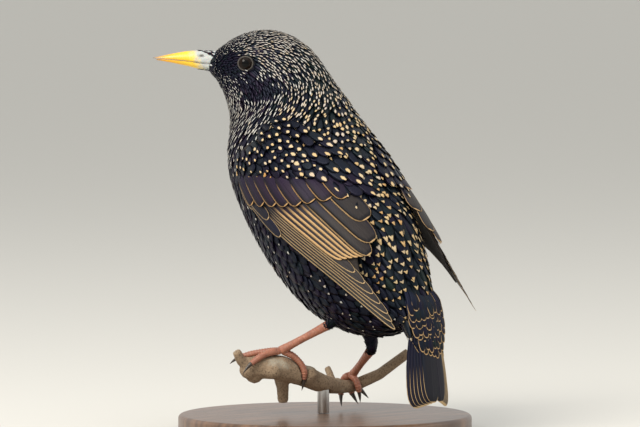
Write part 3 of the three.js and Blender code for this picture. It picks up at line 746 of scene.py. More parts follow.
def coatLook(u, v):
    n = len(u)
    belly = faceSide(v)
    length = mixed("spotLength", u, belly) * rng.uniform(0.6, 1.25, n)
    half = mixed("spotHalf", u, belly) * rng.uniform(0.6, 1.15, n)
    arms = tableAt(coat["arms"], u) * (1 - belly)
    points = bodyPoint(u, v)
    ahead, height = (points - turned(0, 0, 0)) @ headAhead, points[:, 2]
    fade = rng.uniform(0.55, 1.25, n)

    def within(patch):
        forward, middle, reach, rise = coat[patch]
        return np.hypot((ahead - forward) / reach, (height - middle) / rise) < fade

    # the lores, a patch under and behind the eye and most of the belly stay black
    hidden = within("lores") & (u < 5)
    hidden |= within("cheek") & (np.abs(np.sin(v)) > 0.5) & (u < 9)
    hidden |= (u > 11.2) & (belly > 0.3) & (rng.uniform(0, 1, n) < 0.8)
    look = np.stack([length, half, arms], -1)
    look[hidden, :2] = noSpot[:2]
    return look


def coatTint(u, v):
    n = len(u)
    belly = faceSide(v)
    hue = nearly(mixed("hue", u, belly), 0.13, n)
    warmth = np.where(belly < 0.45, tableAt(coat["backWarmth"], u), tableAt(coat["breastWarmth"], u))
    return np.stack([hue, nearly(warmth, 0.12, n), tableAt(coat["rim"], u) * (1 - belly)], -1)


def makeCoat():
    for name, (places, count) in coat["zones"].items():
        starts = spread(bodyPoint, bodyNormal, count, places, (0, fullTurn), coatSpacing, clearOfEyes)
        u, v = starts.T
        length, width = coatSizes(u, v)
        length = length * rng.uniform(0.9, 1.1, len(u))
        angles = rng.normal(0, 0.09, len(u))
        loose = np.interp(u.mean(), *coat["loose"])
        surfaceFeathers(name, lambda p, q: bodyPoint(np.clip(p, 0, bodyEnd), q, -loose), bodyNormal, skinUv,
                        starts, length, width * 1.12, angles, coatLook(u, v), coatTint(u, v),
                        coat["lie"] * loose)
        print(name, len(u), "feathers")


makeCoat()


def darkLook(n):
    return np.tile(noSpot, (n, 1)), np.stack([rng.uniform(0.3, 0.8, n), np.zeros(n), np.zeros(n)], -1)


thighCoat = {
    "candidates": 3000,
    "shares": (0.2, 0.94),
    # at the body, and how much less at the lower end
    "along": (1.5, 0.5),
    "across": (1.1, 0.4),
    "length": (4.6, 2.4),
    "width": (2.0, 0.9),
    "lie": (0.3, 0.45, 0.15),
}


def lessDown(key, share):
    most, less = thighCoat[key]
    return most - less * share


def thighSurface(leg):
    path = thighPath(leg, 60)
    side, rise = pathAxes(path, (1, 0, 0))
    shares = np.linspace(0, 1, len(path))

    def surface(share, turn):
        share = np.clip(share, 0, 1)
        middle, aside, above = (np.stack([np.interp(share, shares, column) for column in rows.T], -1)
                                for rows in (path, side, rise))
        ring = aside * np.cos(turn)[..., None] + above * np.sin(turn)[..., None]
        return middle + ring * (tableAt(thigh["radius"], share) - thigh["featherDepth"])[..., None]

    return surface


def makeThighFeathers(name, leg):
    surface = thighSurface(leg)

    def normal(share, turn):
        return -normals(surface, np.clip(share, 0.02, 0.98), turn, 0.01)

    def uv(share, turn):
        return np.stack([leg["column"] + 0.03 * np.mod(turn, fullTurn) / 6.3, 0.01 + 0.2 * share], -1)

    def spacing(share, turn):
        return lessDown("along", share), lessDown("across", share)

    starts = spread(surface, normal, thighCoat["candidates"], thighCoat["shares"], (0, fullTurn), spacing,
                    lambda p, q: p > 0)
    share = starts[:, 0]
    look, tint = darkLook(len(share))
    angles = rng.normal(0, 0.12, len(share))
    surfaceFeathers(f"thigh{name.capitalize()}Feathers", surface, normal, uv, starts,
                    lessDown("length", share), lessDown("width", share), angles, look, tint,
                    thighCoat["lie"])


for name, leg in legs.items():
    makeThighFeathers(name, leg)
print("body feathers are laid")

# Wings: a runs along the closed wing to its tip, b up to the back, and out away from the body
wing = {
    "middle": np.array([0, 2, 90.0]),
    "pitch": math.radians(47),
    "sweep": math.radians(18),
    "barrel": [(-40, 26.5), (-28, 29.8), (-10, 32.2), (10, 33), (30, 32.2), (50, 29.8), (76, 26), (90, 25),
               (104, 24.6)],
    "start": -28,
    "span": 106,
    "top": math.radians(118),
    "girth": 29,  # mm round the body for each radian
    "rightRaise": math.radians(5),
    "rightLift": math.radians(9),
    "rightOut": (1.5, 4),
    # root (a, b), tip (a, b) and half width of each feather
    "primaries": [
        (7, 1.0, 106, -1.0, 2.0), (9, 2.0, 103, 0.7, 2.2), (11, 3.2, 99.6, 2.2, 2.3),
        (13, 4.2, 94.5, 3.3, 2.3), (15, 5.2, 89.6, 4.5, 2.3), (17, 6.2, 84.2, 5.6, 2.3),
        (19, 7.2, 78.0, 6.6, 2.3),
    ],
    "secondaries": [
        (22, 8.6, 70.5, 7.4, 2.3), (25, 10.4, 72.0, 9.0, 2.3), (28, 12.4, 73.6, 10.6, 2.4),
        (31, 14.4, 75.2, 12.2, 2.5), (34, 16.6, 76.6, 13.8, 2.7),
    ],
    "tertials": [(36, 19.0, 78.4, 15.8, 3.6), (40, 23.0, 75.3, 20.8, 4.2), (42, 27.5, 66.5, 26.0, 4.5)],
    "handCoverts": [(3, 1.6, 18.8, 0.4, 1.9), (5, 2.8, 30.0, 2.2, 2.1), (7, 2.0, 39.9, -0.2, 2.0)],
    "greaterCoverts": [
        (3, 6.5, 18.7, 2.4, 2.5), (7, 10.0, 25.0, 5.6, 2.6), (12, 13.2, 31.0, 8.8, 2.7),
        (18, 15.8, 36.2, 11.6, 2.8), (24, 18.2, 41.0, 14.6, 2.9), (30, 21.4, 45.0, 18.4, 3.0),
        (35, 25.2, 49.6, 22.6, 3.1), (39, 29.2, 54.0, 27.2, 3.2),
    ],
    # height, pale edge in mm, warmth, black border inside the edge, hue, brownness, slope, camber
    "looks": {
        "primaries": (-2.35, 0.36, 0.60, 0.4, 0.45, 0.8, 0.5, 0.07),
        "secondaries": (-1.8, 0.85, 0.80, 0.5, 0.6, 0.7, 0.5, 0.07),
        "tertials": (-1.15, 0.42, 0.75, 1.0, 0.6, 0.9, 0.36, 0.2),
        "handCoverts": (-1.75, 0.30, 0.60, 0.3, 0.5, 0.3, 0.36, 0.2),
        "greaterCoverts": (-0.75, 0.32, 0.88, 0.6, 0.75, 0.2, 0.36, 0.2),
    },
    "rightEdge": 0.22,
    "rightWider": 0.5,
    # a, then the lower and the upper border
    "core": [
        (-3, 6, 14), (2, 1.5, 23), (10, 0.3, 30), (20, 0.2, 33.5), (34, 0.2, 35), (48, 0.2, 34.5),
        (57, 0.3, 30), (65, 0.4, 22), (73, 0.6, 14), (80, 0.9, 8), (87, 1.4, 4.5), (90, 2.2, 3.8),
    ],
    "coreRows": 40,
    "coreColumns": 14,
    "coreInset": 0.6,
    "arm": [(-4, 7.5, 13), (1, 5.5, 20), (8, 8, 27), (18, 14, 32), (28, 19, 34.5), (38, 25, 35.5),
            (46, 30, 35)],
}
armCoverts = {
    "candidates": 3000,
    "places": ((-4, 44), (4, 36)),  # from and to, for a and for b
    "spacing": (2.6, 2.5),
    "length": (6.0, 2.4, 0.4),  # at the shoulder, how much more near the tip, chance either way
    "width": (3.8, 0.9),  # at the lower border, how much more at the upper one
    "lowest": 0.22,  # the lowest feathers, as a share of the way up, have a broad pale end
    "plain": 0.15,  # the share that has no spot
    "flow": -0.10,
    "lie": (0.5, 0.55, 0.2),
}
scapulars = {
    "border": 23.5,
    "candidates": 4000,
    "places": ((1, 50), (20, 42)),
    "along": (2.6, 0.05),  # at the shoulder, how much more for each mm back
    "across": (2.4, 0.045),
    "length": (5.2, 5.6, 0.4),
    "width": (3.0, 2.4),
    "plain": 0.12,
    "flow": -0.05,
    "lie": (0.7, 0.6, 0.22),
}
tailward = np.array([0, math.cos(wing["pitch"]), -math.sin(wing["pitch"])])
backward = np.array([0, math.sin(wing["pitch"]), math.cos(wing["pitch"])])
barrel = splineTable(wing["barrel"])[1]
sideNames = {1: "Left", -1: "Right"}


def onWing(side, a, b, out):
    a, b, out = np.broadcast_arrays(np.asarray(a, float), b, out)
    cos, sin = math.cos(wing["sweep"]), math.sin(wing["sweep"])
    s = wing["start"] + a * cos - b * sin
    turn = wing["top"] - (a * sin + b * cos) / wing["girth"]
    opening = np.zeros_like(a)
    if side < 0:
        opening = np.clip(a / wing["span"], 0, 1.1)
        turn = turn - wing["rightRaise"] - wing["rightLift"] * opening
    near, far = wing["rightOut"]
    reach = np.interp(s, barrel[:, 0], barrel[:, 1]) + out + near * opening + far * opening**3
    point = wing["middle"] + tailward * s[..., None] + backward * (reach * np.cos(turn))[..., None]
    return point + np.array([1, 0, 0]) * (side * reach * np.sin(turn))[..., None]


def flightShader():
    # reads featherPlace (across, along, half width in mm), featherLook (length, border, warmth)
    # and featherTint (hue, brownness, pale edge in mm)
    shader = Shader("flightFeathers", Specular_IOR_Level=0.18)
    across, along, half = shader.parts(shader.attribute("featherPlace"))
    length, border, warmth = shader.parts(shader.attribute("featherLook"))
    hue, brown, edge = shader.parts(shader.attribute("featherTint"))
    stretched = {0: along * length * 0.25, 1: across * half * 3.0, 2: length}
    streaks = shader.noise(1.0, 4.0, shader.node("ShaderNodeCombineXYZ", None, stretched))
    sheen = shader.ramp(hue, (0.0, (0.005, 0.018, 0.016)), (0.5, (0.006, 0.008, 0.024)),
                        (1.0, (0.018, 0.007, 0.024)))
    vaneBrown = shader.blend(streaks, paint(0.013, 0.010, 0.009), paint(0.040, 0.032, 0.027))
    browned = brown * along.step(0.1, 0.6) * across.size().step(1.1, 0.5)
    centre = shader.blend(browned, sheen, vaneBrown)
    fromLow = (across + 1.0) * half
    fromTip = (1.0 - along) * length
    nearest = fromLow.math("MINIMUM", fromTip * 0.8)
    wobble = (streaks - 0.5) * 0.5
    black = (nearest + wobble).step(2.2, 1.0) * border
    centre = shader.blend(black, centre, paint(0.005, 0.0045, 0.006))
    pale = shader.ramp(warmth, (0.0, (0.50, 0.48, 0.43)), (0.5, (0.50, 0.37, 0.21)),
                       (1.0, (0.52, 0.29, 0.11)))
    rim = (nearest + wobble * 0.5 - edge).step(0.16, -0.10) * along.step(0.12, 0.35)
    otherRim = ((1.0 - across) * half - edge * 0.7).step(0.10, -0.08) * along.step(0.55, 0.85)
    mask = rim.math("MAXIMUM", otherRim)
    shader.feed("Base Color", shader.blend(mask, centre, pale))
    shader.feed("Metallic", (1.0 - mask) * (1.0 - brown) * 0.4)
    shader.feed("Roughness", mask * 0.2 + 0.5)
    barbs = ((fromTip * 3.2 + across.size() * half * 3.0) * 2.4).math("SINE")
    shaft = (across.size() * half).step(0.28, 0.05)
    shader.bump(barbs * 0.2 + shaft * 1.4, 0.4, 0.00015)
    return shader.material


def underwingShader():
    shader = Shader("underwing", Roughness=0.75, Specular_IOR_Level=0.15)
    grain = shader.noise(500.0, 4.0, shader.place((1, 3, 3)))
    shader.feed("Base Color", shader.blend(grain, paint(0.012, 0.010, 0.010), paint(0.045, 0.037, 0.032)))
    shader.bump(grain, 0.3, 0.0003)
    return shader.material


flight = flightShader()
underwing = underwingShader()
longVane = {
    "steps": np.array([0, 0.1, 0.25, 0.4, 0.55, 0.68, 0.78, 0.86, 0.91, 0.95, 0.975, 0.99, 1.0]),
    "round": np.array([0.5, 0.72, 0.88, 0.96, 1.0, 1.0, 0.98, 0.92, 0.83, 0.69, 0.53, 0.36, 0.14]),
    "pointed": np.array([0.5, 0.72, 0.88, 0.97, 1.0, 0.97, 0.88, 0.76, 0.65, 0.51, 0.39, 0.27, 0.1]),
    "across": 7,
    "bow": 0.012,
}


def vanes(name, surface, feathers, outward, node, tip="round"):
    # feathers: root, tip, half width, level, look, tint, slope across, camber, how deep the root lies
    t, outline = longVane["steps"][:, None], longVane[tip][:, None]
    w = np.linspace(-1, 1, longVane["across"])[None]
    wide = 0.96 / len(feathers)
    points, place, look, tint, patch = [], [], [], [], []
    for index, feather in enumerate(feathers):
        a0, b0, a1, b1, half, level, feathersLook, feathersTint, slope, camber, sink = feather
        length = math.hypot(a1 - a0, b1 - b0)
        runA, runB = (a1 - a0) / length, (b1 - b0) / length
        off = w * outline
        a = a0 + (a1 - a0) * t - runB * off * half
        b = b0 + (b1 - b0) * t + runA * off * half + np.sin(np.pi * t) * length * longVane["bow"]
        out = level - slope * off + camber * (1 - w**2) * outline**0.5 + 0.05 * np.sin(t * 9 + index)
        out = out - sink * np.maximum(1 - t * 1.6, 0) ** 1.5
        points.append(surface(a, b, out))
        place.append(np.stack(np.broadcast_arrays(w, t, half * outline), -1))
        look.append(np.broadcast_to(feathersLook, (*off.shape, 3)))
        tint.append(np.broadcast_to(feathersTint, (*off.shape, 3)))
        column = 0.02 + wide * (index + 0.5 + 0.42 * w)
        patch.append(np.stack(np.broadcast_arrays(column, 0.02 + 0.95 * t), -1))
    points, place, look, tint, patch = (np.array(values) for values in (points, place, look, tint, patch))
    return featherPiece(name, points, outward, flight, patch, place, look, tint, "flight_feathers", node)


def wingCore(side):
    # the closed body of the folded wing under its feathers
    rows = smoothPath(wing["core"], wing["coreRows"])
    a, low, high = rows[:, :1], rows[:, 1:2] + wing["coreInset"], rows[:, 2:] - wing["coreInset"]
    j = np.linspace(0, 1, wing["coreColumns"])
    b = low + (high - low) * j
    top = -3.3 + 1.3 * np.clip((b - 6) / 12, 0, 1) - 0.5 * (np.abs(j - 0.5) > 0.45)
    upper = onWing(side, a, b, top)
    thin = np.clip((a - 60) / 30, 0, 1)
    lower = onWing(side, a, b[:, ::-1], -4.0 + 0.55 * thin)
    return closedLoft(np.concatenate([upper, lower], 1))


def makeWing(side):
    label, node = sideNames[side], f"wing_{sideNames[side].lower()}"
    points, faces = wingCore(side)
    rows, ring = wing["coreRows"], 2 * wing["coreColumns"]
    uv = np.zeros((len(points), 2))
    uv[: rows * ring, 0] = 0.02 + 0.95 * np.tile(np.linspace(0, 1, ring), rows)
    uv[: rows * ring, 1] = 0.02 + 0.95 * np.repeat(np.linspace(0, 1, rows), ring)
    solidPiece(f"wing{label}Core", points, faces, underwing, "flight_feathers", node, uv=uv)
    feathers = []
    for group, (level, edge, warmth, border, hue, brown, slope, camber) in wing["looks"].items():
        for k, (a0, b0, a1, b1, half) in enumerate(wing[group]):
            tint = (nearly(hue, 0.1), nearly(brown, 0.06), edge)
            if side < 0 and group == "primaries":
                # on the raised wing they are broader, with thin edges on all but the first
                half, edge = half + wing["rightWider"], wing["rightEdge"]
            look = (math.hypot(a1 - a0, b1 - b0), border, warmth)
            feathers.append((a0, b0, a1, b1, half * 1.04, level + 0.02 * k, look, tint, slope, camber, 0.5))
    vanes(f"wing{label}Feathers", lambda a, b, out: onWing(side, a, b, out), feathers,
          np.array([side, 0, 0]), node)


for side in (1, -1):
    makeWing(side)
print("wings are made")


def wingSurface(side, height):
    def surface(a, b):
        return onWing(side, a, b, height(a, b))

    def normal(a, b):
        return normals(lambda p, q: onWing(side, p, q, -1.0), a, b, 0.3) * side

    return surface, normal


def wingUv(shift, scale):
    return lambda a, b: np.stack([shift + a / scale, 0.02 + b / 45], -1)


def armBorders(a):
    rows = np.array(wing["arm"], float)
    return np.interp(a, rows[:, 0], rows[:, 1]), np.interp(a, rows[:, 0], rows[:, 2])


def armHeight(a, b):
    low, high = armBorders(a)
    across = np.clip((b - low) / (high - low), 0, 1)
    along = np.clip((a + 4) / 50, 0, 1)
    return -1.55 + 1.5 * np.sin(np.pi * across) ** 0.7 * np.sin(np.pi * (along * 0.9 + 0.07)) ** 0.6


def makeArmCoverts(side):
    surface, normal = wingSurface(side, armHeight)

    def inside(a, b):
        low, high = armBorders(a)
        return (b > low - 1.5) & (b < high + 1.0)

    def spacing(a, b):
        return tuple(np.full_like(a, step) for step in armCoverts["spacing"])

    starts = spread(surface, normal, armCoverts["candidates"], *armCoverts["places"], spacing, inside)
    a, b = starts.T
    n = len(a)
    low, high = armBorders(a)
    up = np.clip((b - low) / (high - low), 0, 1)
    least, more, chance = armCoverts["length"]
    length = least + more * np.clip(a / 40, 0, 1) + rng.uniform(-chance, chance, n)
    narrow, wider = armCoverts["width"]
    lowest = up < armCoverts["lowest"]
    look = np.stack([
        np.where(lowest, 1.3, rng.uniform(1.2, 1.9, n)),
        np.where(lowest, 1.5, rng.uniform(0.5, 0.85, n)),
        np.where(lowest, 0.5, rng.uniform(0, 0.3, n)),
    ], -1)
    look[rng.uniform(0, 1, n) < armCoverts["plain"], :2] = noSpot[:2]
    warmth = nearly(np.where(lowest, 0.9, 0.68), 0.08, n)
    tint = np.stack([nearly(0.48, 0.12, n), warmth, np.zeros(n)], -1)
    angles = rng.normal(armCoverts["flow"], 0.08, n)
    surfaceFeathers(f"arm{sideNames[side]}Coverts", surface, normal, wingUv(0.09, 60), starts, length,
                    narrow + wider * up, angles, look, tint, armCoverts["lie"], coverVane)
    print("arm coverts", n)


def makeScapulars(side):
    low = scapulars["border"]

    def height(a, b):
        rise = np.clip((b - low) / 10, 0, 1)
        return -0.5 + 0.7 * rise - 1.2 * np.clip((a - 38) / 20, 0, 1) - 0.6 * np.clip(1 - a / 16, 0, 1)

    def inside(a, b):
        return (b > low + 0.10 * np.abs(a - 20)) & (b < 40 - 0.25 * np.clip(14 - a, 0, 20))

    def spacing(a, b):
        back = np.clip(a, 0, 40)
        return tuple(least + more * back for least, more in (scapulars["along"], scapulars["across"]))

    surface, normal = wingSurface(side, height)
    starts = spread(surface, normal, scapulars["candidates"], *scapulars["places"], spacing, inside)
    a = starts[:, 0]
    n = len(a)
    back = np.clip(a / 40, 0, 1)
    least, more, chance = scapulars["length"]
    length = least + more * back + rng.uniform(-chance, chance, n)
    narrow, wider = scapulars["width"]
    larger = 0.65 + 0.35 * np.clip(a / 25, 0, 1)
    look = np.stack([
        rng.uniform(2.0, 3.1, n) * larger,
        rng.uniform(0.85, 1.3, n) * larger,
        rng.uniform(0.0, 0.8, n),
    ], -1)
    look[rng.uniform(0, 1, n) < scapulars["plain"], :2] = noSpot[:2]
    tint = np.stack([nearly(0.48, 0.1, n), nearly(0.68, 0.08, n), np.zeros(n)], -1)
    angles = rng.normal(scapulars["flow"], 0.08, n)
    surfaceFeathers(f"scapulars{sideNames[side]}", surface, normal, wingUv(0.12, 70), starts, length,
                    narrow + wider * back, angles, look, tint, scapulars["lie"], coverVane)
    print("scapulars", n)


for side in (1, -1):
    makeArmCoverts(side)
    makeScapulars(side)

# Tail: places run from 0 at its root to 1 at its tip
tail = {
    "length": 38.0,
    # place, then the upper side's y and z
    "back": [(-0.3, 57.4, 62.0), (0, 60.2, 51.4), (0.3, 62.7, 41.5), (0.65, 64.6, 29.5), (1, 66.2, 14.2)],
    "rise": np.array([0, 37.2, 6.0]) / math.hypot(37.2, 6.0),  # square to its upper side
    "arch": 0.02,
    "pairs": 6,
    # start, end, how many, reach aside, half width, level
    "coverts": [
        (0.10, 0.52, 5, 4.4, 1.9, 0.25), (0.02, 0.45, 6, 5.6, 2.0, 0.4), (-0.04, 0.37, 7, 6.8, 2.1, 0.55),
        (-0.12, 0.29, 8, 7.8, 2.1, 0.7), (-0.18, 0.20, 8, 8.4, 2.2, 0.8), (-0.25, 0.11, 8, 8.6, 2.1, 0.9),
        (-0.29, 0.03, 8, 8.6, 2.0, 1.0),
    ],
    "featherEdge": 0.30,
    "covertEdge": 0.34,
}


def onTail(a, x, out):
    # a in mm from the root, x to the left, out from the upper side
    place, x, out = np.broadcast_arrays(np.asarray(a / tail["length"], float), x, out)
    rows = np.array(tail["back"], float)
    y, z = (np.interp(place, rows[:, 0], rows[:, k]) for k in (1, 2))
    return np.stack([x, y, z], -1) + tail["rise"] * (out - tail["arch"] * x * x)[..., None]


def makeTail():
    length = tail["length"]
    feathers, coverts = [], []
    for side in (1, -1):
        for i in range(tail["pairs"]):
            root, tip = side * (1.2 + 0.7 * i), side * (2.2 + 1.2 * i)
            tint = (nearly(0.45, 0.1), 0.45, tail["featherEdge"])
            level = -0.5 * i + (0.12 if side > 0 else 0) - 0.15
            end = (0.965 + 0.007 * i) * length
            look = (length * 0.85, 0.4, 0.62)
            feathers.append((0.12 * length, root, end, tip, 4.0, level, look, tint, 0.0, 0.25, 0.0))
    vanes("tailFeathers", onTail, feathers, backward, "tail")
    for start, end, count, reach, half, level in tail["coverts"]:
        for k in range(count):
            x = reach * (2 * (k + 0.5) / count - 1) + rng.uniform(-0.3, 0.3)
            tint = (nearly(0.4, 0.12), 0.05, tail["covertEdge"])
            tip = end + rng.uniform(-0.035, 0.035) - 0.004 * abs(x)
            look = (length * (tip - start), 0.6, 0.75)
            coverts.append((start * length, x * 0.85, tip * length, x * 1.12, half,
                            level + 0.04 * rng.normal(), look, tint, 0.0, 0.2, 3.5))
    vanes("tailCoverts", onTail, coverts, backward, "tail", "pointed")


makeTail()
print("tail is made")

# Bill: rows of forward, upper height, lower height and half width
bill = {
    "upper": [
        (28.4, 154.9, 149.5, 3.6), (31.5, 154.9, 149.75, 3.55), (35.9, 155.15, 150.15, 3.4),
        (41.0, 154.9, 150.85, 2.8), (46.1, 154.1, 151.35, 2.1), (51.0, 153.1, 151.75, 1.3),
        (54.3, 152.4, 151.88, 0.7), (55.5, 152.2, 152.0, 0.25),
    ],
    "lower": [
        (28.4, 149.1, 146.4, 3.4), (31.5, 149.45, 146.7, 3.35), (35.5, 149.85, 147.3, 3.1),
        (40.0, 150.55, 148.4, 2.6), (45.0, 151.05, 149.5, 1.9), (50.0, 151.45, 150.5, 1.2),
        (54.0, 151.65, 151.2, 0.35),
    ],
    "rows": 90,
    "columns": 48,
    "base": 31,
    "length": 24.5,
    "middle": 150,
    "roundness": 0.85,
    "hollow": 0.15,
    "nostril": (35.2, 153.0, 1.6, 0.55),
    "nostrilDepth": 0.55,
    "gape": [(31.6, 3.0, 149.3), (30.0, 3.9, 148.9), (28.2, 5.0, 148.4), (26.4, 6.3, 147.7)],
    "gapeRadii": (0.85, 0.25),
}
wedges = {
    "back": 29.6,
    "step": 0.55,
    # middle round the bill, how far forward, half width in radians
    "patches": ((0.0, 35.2, 0.95), (math.pi, 35.6, 0.8)),
    "length": 2.3,
    "width": 0.8,
}


def billShader():
    # reads billPlace (0 at the base and 1 at the tip, height from the middle, dent painted as shade)
    shader = Shader("horn", Coat_Weight=0.25, Coat_Roughness=0.25, Subsurface_Weight=0.12,
                    Subsurface_Scale=0.001)
    along, height, nostrilDentAndShade = shader.parts(shader.attribute("billPlace"))
    blotch = shader.noise(500.0, 3.0, shader.place())
    yellow = shader.ramp(along + (blotch - 0.5) * 0.10, (0.0, (0.85, 0.62, 0.06)),
                         (0.45, (0.90, 0.55, 0.02)), (0.78, (0.85, 0.40, 0.015)), (1.0, (0.35, 0.20, 0.08)))
    baseGrey = shader.blend(blotch, paint(0.33, 0.36, 0.38), paint(0.56, 0.57, 0.52))
    base = (along + (blotch - 0.5) * 0.22 - height * 0.10).step(0.36, 0.14)
    color = shader.blend(base, yellow, baseGrey)
    tip = (along + (blotch - 0.5) * 0.06).step(0.90, 1.0)
    color = shader.blend(tip, color, paint(0.16, 0.13, 0.10))
    # painted shade: the nostril's dent is darkened, most where it is deepest
    shader.feed("Base Color", shader.blend(nostrilDentAndShade, color, paint(0.03, 0.025, 0.02)))
    shader.feed("Roughness", blotch * 0.15 + 0.28)
    shader.bump(shader.noise(260.0, 4.0, shader.place((1, 1, 4))), 0.12, 0.0004)
    return shader.material


def makeBill(key, material):
    facing = 1 if key == "upper" else -1
    rows = smoothPath(bill[key], bill["rows"])
    forward, high, low, half = (column[:, None] for column in rows.T)
    turn = np.linspace(0, fullTurn, bill["columns"], endpoint=False)
    wave = np.sin(turn)[None] * facing
    bulge = np.maximum(wave, 0) ** bill["roundness"]
    height = low + (high - low) * (bulge if facing > 0 else 1 - bulge)
    side = half * np.cos(turn)[None] * 0.97
    inner = bill["hollow"] * (1 - (side / np.maximum(half, 1e-6)) ** 2)
    height = np.where(wave < 0, height + inner * facing, height)
    nostrilDentAndShade = np.zeros_like(side)
    if facing > 0:
        ahead, up, reach, rise = bill["nostril"]
        away = np.hypot((forward - ahead) / reach, (height - up) / rise)
        # the nostril is pushed in, and the same dent darkens it as painted shade in the bill's material
        nostrilDentAndShade = np.exp(-(away**2) * 1.6) * (np.abs(side) > 1)
        side = side - np.sign(side) * nostrilDentAndShade * bill["nostrilDepth"]
    lofts = [closedLoft(turned(forward, side, height))]
    if facing < 0:
        for s in (1, -1):
            path = smoothPath([turned(f, s * w, z) for f, w, z in bill["gape"]], 20)
            lofts.append(closedLoft(tubeRings(path, np.linspace(*bill["gapeRadii"], 20), 14, 0.8)))
    points, faces = joinLofts(lofts)
    along, relative = (forward - bill["base"]) / bill["length"], (height - bill["middle"]) / 5
    # the third value is the nostril dent's painted shade
    place = np.zeros((len(points), 3))
    place[: side.size] = np.stack(
        np.broadcast_arrays(along, relative, np.clip(nostrilDentAndShade * 1.4, 0, 1)), -1).reshape(-1, 3)
    solidPiece(f"bill{key.capitalize()}", points, faces, material, "bill", f"bill_{key}", billPlace=place)


def billColumn(key, forward, k):
    rows = np.array(bill[key], float)
    return np.interp(forward, rows[:, 0], rows[:, k])


def makeWedges():
    # small dark feathers that run forward over the bill's base, above and below
    def surface(forward, turn):
        forward, turn = np.broadcast_arrays(np.asarray(forward, float), turn)
        top, base = billColumn("upper", forward, 1), billColumn("lower", forward, 2)
        height = (top + base) / 2 + (top - base) / 2 * np.cos(turn)
        return turned(forward, billColumn("upper", forward, 3) * np.sin(turn), height)

    outward = np.sign(normals(surface, np.array([33.0]), np.array([0.0]), 0.05)[0, 2])

    def normal(forward, turn):
        return normals(surface, forward, turn, 0.05) * outward

    def uv(forward, turn):
        return np.stack([0.9 + 0.004 * (forward - 28), 0.5 + 0.03 * turn], -1)

    starts = []
    for middle, reach, wide in wedges["patches"]:
        for p in np.arange(wedges["back"], reach, wedges["step"]):
            share = (p - wedges["back"]) / (reach - wedges["back"])
            for q in np.linspace(-1, 1, max(2, int(7 * (1 - share)))) * wide * (1 - share * 0.85):
                starts.append((p + rng.uniform(-0.2, 0.2), middle + q + rng.uniform(-0.06, 0.06)))
    n = len(starts)
    look, tint = darkLook(n)
    angles = rng.normal(0, 0.12, n)
    surfaceFeathers("billWedges", surface, normal, uv, np.array(starts), np.full(n, wedges["length"]),
                    np.full(n, wedges["width"]), angles, look, tint, (0.25, 0.22, 0.1))


horn = billShader()
makeBill("upper", horn)
makeBill("lower", horn)
makeWedges()


# Eyes and lids
def eyeShader(side):
    middle = eyeMiddle(side) + headLeft * side * eye["radius"]
    shader = Shader(f"eye{sideNames[side]}Glass", Roughness=0.08, Specular_IOR_Level=0.12, Coat_Weight=0.05,
                    Coat_Roughness=0.02)
    coordinates = shader.node("ShaderNodeTexCoord", None, None, "Object")
    away = shader.node("ShaderNodeVectorMath", {"operation": "DISTANCE"},
                       {0: coordinates, 1: tuple(middle * mm)}, "Value")
    rays = shader.noise(3000.0, 3.0, coordinates)
    iris = shader.blend(rays, paint(0.004, 0.0025, 0.002), paint(0.014, 0.007, 0.004))
    pupil = away.step((eye["pupil"] + eye["pupilEdge"]) * mm, (eye["pupil"] - eye["pupilEdge"]) * mm)
    shader.feed("Base Color", shader.blend(pupil, iris, paint(0.002, 0.002, 0.002)))
    return shader.material


def lidShader():
    shader = Shader("eyelid", Roughness=0.6)
    grain = shader.noise(2500.0, 3.0, shader.place())
    shader.feed("Base Color", shader.blend(grain, paint(0.022, 0.019, 0.017), paint(0.11, 0.095, 0.08)))
    shader.bump(grain, 0.5, 0.0002)
    return shader.material


def sphereRings(middle, axis, radius, rows, sides):
    # the axis isn't upright
    axis = unit(axis)
    first = unit(np.cross(axis, upward))
    second = np.cross(axis, first)
    polar = np.linspace(0.03, math.pi - 0.03, rows)[:, None, None]
    turn = np.linspace(0, fullTurn, sides, endpoint=False)[None, :, None]
    ring = first * np.cos(turn) + second * np.sin(turn)
    return middle + radius * (axis * np.cos(polar) + ring * np.sin(polar))


